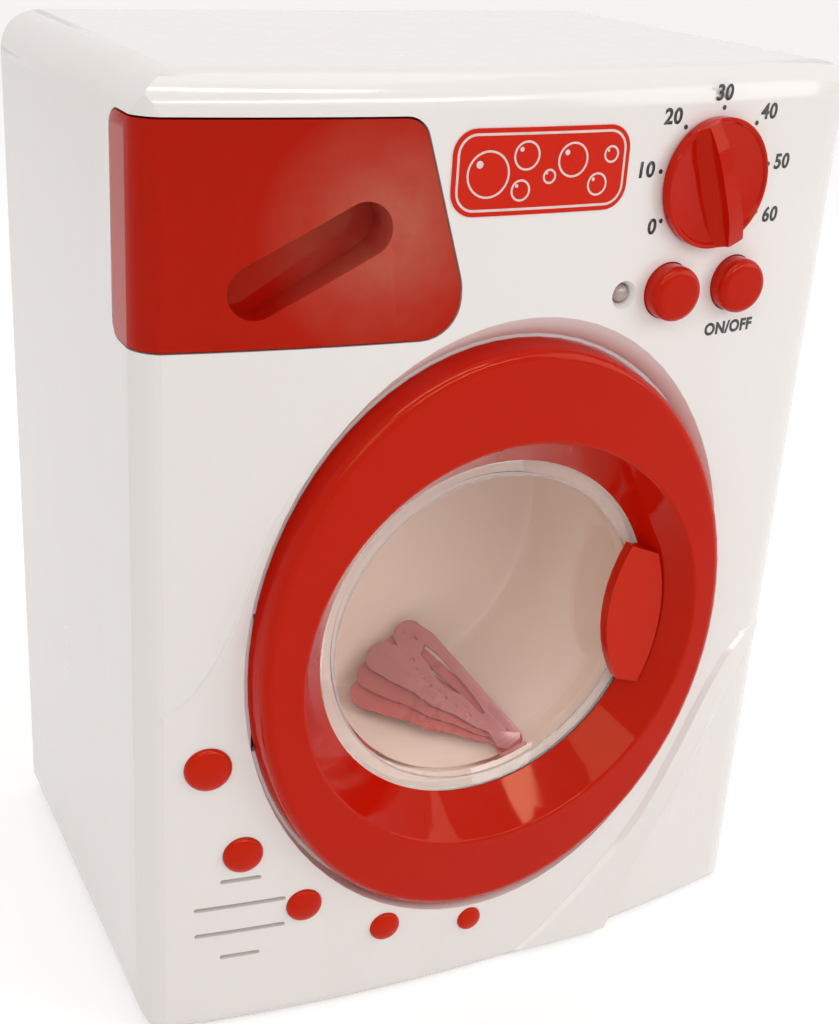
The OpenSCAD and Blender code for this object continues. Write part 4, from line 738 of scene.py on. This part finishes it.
# Toy garments: one moulded outline in millimetres, fanned in a stack from its tip
garment = {"tip": (22.0, -49.0, 59.6), "turn": (-36.0, -5.7, 118.0), "thick": 1.4, "step": 1.5,
           "fan": 6.5, "start": -6.0, "edge": 0.28,
           # the garments further down the stack get redder, brighter pinks: painted light, for light shining
           # through the plastic
           "shades": ((0.50, 0.18, 0.185), (0.50, 0.125, 0.12), (0.56, 0.12, 0.11)),
           "tipEnd": ((2.6, 6.4), (-0.6, 5.2), (-1.4, 0.6), (-0.6, -1.3)),
           "farEdge": ((22.0, -6.9), (43.5, -12.2)),
           "lobes": ((50.6, -7.7, 4.8, -105, 50), (52.2, 3.4, 5.4, -60, 95)), "notch": (50.2, -2.4),
           "hem": ((44.0, 8.4), (36.0, 7.2), (28.0, 7.4), (20.0, 5.6), (13.0, 5.3), (7.5, 4.2)),
           "slot": ((43.4, -7.6), (42.0, -4.2), (37.0, -2.6), (32.0, -0.2), (28.0, 0.2), (22.0, -0.8),
                    (13.0, 1.0), (12.4, -0.1), (21.0, -3.2), (30.0, -5.4), (38.0, -7.4)),
           "dimples": ((47.5, -7.5), (43.0, -1.2), (39.8, 0.7), (36.4, 1.6), (32.6, 2.6), (26.0, 2.9),
                       (21.6, 3.2), (16.0, 3.1), (4.0, 0.6)),
           "dimple": 1.0, "sunk": 0.7, "dimpleShape": (1.0, 0.6, 1.0)}


def plate(points, thick, name):
    deselect()
    bpy.ops.mesh.primitive_circle_add(vertices=len(points), radius=0.01, fill_type="NGON")
    obj = newest(name)
    for v, p in zip(obj.data.vertices, points):
        v.co = (p[0] * mm, p[1] * mm, 0.0)
    bpy.ops.object.mode_set(mode="EDIT")
    bpy.ops.mesh.select_all(action="SELECT")
    bpy.ops.mesh.extrude_region_move(TRANSFORM_OT_translate={"value": (0, 0, thick * mm)})
    bpy.ops.object.mode_set(mode="OBJECT")
    return cleanNormals(obj)


def carve(obj, tool):
    m = obj.modifiers.new("carve", "BOOLEAN")
    m.operation = "DIFFERENCE"
    m.solver = "EXACT"
    m.object = tool
    applyAll(obj)
    bpy.data.objects.remove(tool)
    return obj


def garmentOutline(g):
    points = list(g["farEdge"])
    for k, (x, y, r, start, end) in enumerate(g["lobes"]):
        points += arcPoints(x, y, r, start, end, 14)
        if k == 0:  # the notch lies between the two lobes
            points.append(g["notch"])
    return points + list(g["hem"]) + list(g["tipEnd"])


def makeGarment(g):
    obj = plate(garmentOutline(g), g["thick"], "garmentPattern")
    slot = plate(g["slot"], g["thick"] + 2, "slotTool")
    slot.location.z = -mm
    setPlace(slot)
    carve(obj, slot)
    dots = []
    high = g["thick"] + g["dimple"] - g["sunk"]
    for x, y in g["dimples"]:
        deselect()
        bpy.ops.mesh.primitive_uv_sphere_add(segments=14, ring_count=8, radius=g["dimple"] * mm,
                                             location=(x * mm, y * mm, high * mm))
        dot = newest("dimpleTool")
        dot.scale = g["dimpleShape"]
        dots.append(setPlace(dot))
    carve(obj, joinAll(dots, "dimpleTools"))
    roundEdges(obj, g["edge"] * mm, 3, 50)
    applyAll(obj)
    smoothBy(obj, 40)
    return obj


def layGarments(g):
    pattern = makeGarment(g)
    rx, ry, rz = (math.radians(a) for a in g["turn"])
    lean = Matrix.Rotation(rz, 4, "Z") @ Matrix.Rotation(ry, 4, "Y") @ Matrix.Rotation(rx, 4, "X")
    place = Matrix.Translation(Vector(g["tip"]) * mm) @ lean
    # each garment takes its own pink: painted light shining through the stack
    for k, c in enumerate(g["shades"]):
        look = {"colour": c, "second": [v * 0.88 for v in c], "worn": [v * 1.25 for v in c],
                "polished": 0.22, "dulled": 0.35, "patch": 60.0, "glow": 0.08}
        shade = plastic("garmentPink%d" % (k + 1), look)
        obj = bpy.data.objects.new("toyGarment%d" % (k + 1), pattern.data.copy())
        obj.data.name = obj.name
        bpy.context.scene.collection.objects.link(obj)
        fan = Matrix.Rotation(math.radians(g["start"] + k * g["fan"]), 4, "Z")
        obj.matrix_world = place @ Matrix.Translation((0, 0, -k * g["step"] * mm)) @ fan
        finish(setPlace(obj), shade, "case")
        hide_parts("toy_garment_%d" % (k + 1))
    bpy.data.objects.remove(pattern)


layGarments(garment)
print("garments laid")

# Window: a pale translucent band between its rim and the crease of the dome, and at the crease a dark line
# with lighter patches, painted shade and highlight for the light bent there
windowRim = {"middle": (-0.001, 0.1075), "rim": 0.0502, "crease": 0.0464, "place": -0.0645, "line": 0.0006,
             "thick": 0.00012,
             "hazy": {"colour": (0.86, 0.80, 0.79), "second": (0.82, 0.75, 0.745), "worn": (0.9, 0.86, 0.85),
                      "polished": 0.12, "dulled": 0.25, "bump": 0.03, "patch": 45.0, "dust": 0.0,
                      "alpha": 0.17},
             # the crease line: painted shade with lighter patches of painted highlight
             "shaded": {"colour": (0.36, 0.29, 0.30), "second": (0.62, 0.56, 0.57),
                        "worn": (0.8, 0.76, 0.76), "polished": 0.1, "dulled": 0.2, "bump": 0.03,
                        "patch": 18.0, "drift": 0.9, "dust": 0.0, "alpha": 0.55}}


def flatRing(d, inner, outer, name):
    middle = (d["middle"][0], d["place"], d["middle"][1])
    deselect()
    bpy.ops.mesh.primitive_circle_add(vertices=144, radius=outer, fill_type="NOTHING", location=middle,
                                      rotation=(math.radians(90), 0, 0))
    obj = newest(name)
    bpy.ops.object.mode_set(mode="EDIT")
    bpy.ops.mesh.select_all(action="SELECT")
    bpy.ops.mesh.extrude_edges_move()
    share = inner / outer
    bpy.ops.transform.resize(value=(share, 1, share), center_override=middle)
    bpy.ops.object.mode_set(mode="OBJECT")
    setPlace(obj)
    m = obj.modifiers.new("thickness", "SOLIDIFY")
    m.thickness = d["thick"]
    applyAll(obj)
    cleanNormals(obj)
    return smoothBy(obj, 30)


def paintWindowBands(d):
    for name, inner, outer, look in (("windowHaze", d["crease"], d["rim"], d["hazy"]),
                                     ("windowCrease", d["crease"] - d["line"], d["crease"], d["shaded"])):
        mat = plastic(name + "Plastic", look)
        mat.node_tree.nodes["Principled BSDF"].inputs["Alpha"].default_value = look["alpha"]
        finish(flatRing(d, inner, outer, name), mat, "door")


paintWindowBands(windowRim)
print("window rim hazed")

# Floor and light; a lamp has its place, its size and its power
stage = {"floorSize": 6.0, "wallHeight": 2.5, "cove": 0.8, "floorColour": (0.83, 0.82, 0.815),
         "world": 0.66, "glare": 0.36, "aim": (0, 0, 0.13),
         "lamps": {"keyLamp": ((-0.75, -1.0, 1.05), (0.7, 0.5), 2.9),
                   "fillLamp": ((1.0, -0.8, 0.7), (0.8, 0.8), 4.4),
                   "topLamp": ((0.1, 0.2, 1.3), (0.9, 0.9), 2.2)},
         "glintAim": (0, 0, 0.15), "glintSize": (0.9, 0.13), "glint": 4.5,
         "glintPlaces": ((-0.15, -0.55, 1.15), (0.25, -1.25, 0.95))}


def seenDirectly(tree):  # 1 for what the camera, gloss and clear plastic see, 0 for the light on the object
    path = add(tree, "ShaderNodeLightPath")
    bent = mathNode(tree, "MAXIMUM", path.outputs["Is Glossy Ray"], path.outputs["Is Transmission Ray"])
    return mathNode(tree, "MAXIMUM", path.outputs["Is Camera Ray"], bent)


def makeFloor(s):
    deselect()
    half = s["floorSize"] / 2
    bpy.ops.mesh.primitive_plane_add(size=s["floorSize"], location=(0, 0, -0.0002))
    floor = newest("paleFloor")
    setPlace(floor)
    bpy.ops.object.mode_set(mode="EDIT")
    bpy.ops.mesh.select_all(action="DESELECT")
    m = bmesh.from_edit_mesh(floor.data)
    for e in m.edges:
        if all(v.co.y > half - 0.01 for v in e.verts):
            e.select = True
    bmesh.update_edit_mesh(floor.data)
    bpy.ops.mesh.extrude_edges_move(TRANSFORM_OT_translate={"value": (0, 0, s["wallHeight"])})
    bpy.ops.object.mode_set(mode="OBJECT")
    roundEdges(floor, s["cove"], 12, 30)
    applyAll(floor)
    smoothBy(floor, 60)
    mat = bpy.data.materials.new("paleFloorPaint")
    mat.use_nodes = True
    t = mat.node_tree
    shader = t.nodes["Principled BSDF"]
    shader.inputs["Roughness"].default_value = 0.9
    second = [c * 0.985 for c in s["floorColour"]]
    drift = placeGroup(t, driftGroup, Colour=rgba(s["floorColour"]), Second_Colour=rgba(second),
                       Patch_Scale=3.0, Amount=0.6)
    t.links.new(drift.outputs["Colour"], shader.inputs["Base Color"])
    shader.inputs["Emission Color"].default_value = (1, 1, 1, 1)
    t.links.new(mathNode(t, "MULTIPLY", seenDirectly(t), s["glare"]), shader.inputs["Emission Strength"])
    floor.data.materials.append(mat)
    return floor


def areaLamp(name, place, target, size, power):
    data = bpy.data.lights.new(name, "AREA")
    data.shape = "RECTANGLE"
    data.size, data.size_y = size
    data.energy = power
    obj = bpy.data.objects.new(name, data)
    bpy.context.scene.collection.objects.link(obj)
    obj.location = place
    aim = Vector(target) - Vector(place)
    obj.rotation_euler = aim.to_track_quat("-Z", "Y").to_euler()
    return obj


def makeLight(s):
    world = bpy.data.worlds.new("softRoom")
    bpy.context.scene.world = world
    world.use_nodes = True
    t = world.node_tree
    back = t.nodes["Background"]
    back.inputs["Color"].default_value = (1.0, 0.985, 0.98, 1)
    t.links.new(spread(t, seenDirectly(t), 0, 1, s["world"], 1.0), back.inputs["Strength"])
    for name, (place, size, power) in s["lamps"].items():
        areaLamp(name, place, s["aim"], size, power)
    for place in s["glintPlaces"]:  # these only draw highlights
        lamp = areaLamp("glintLamp", place, s["glintAim"], s["glintSize"], s["glint"])
        lamp.visible_diffuse = False


makeFloor(stage)
makeLight(stage)
bpy.context.scene.view_settings.view_transform = "Standard"
print("floor and light ready")
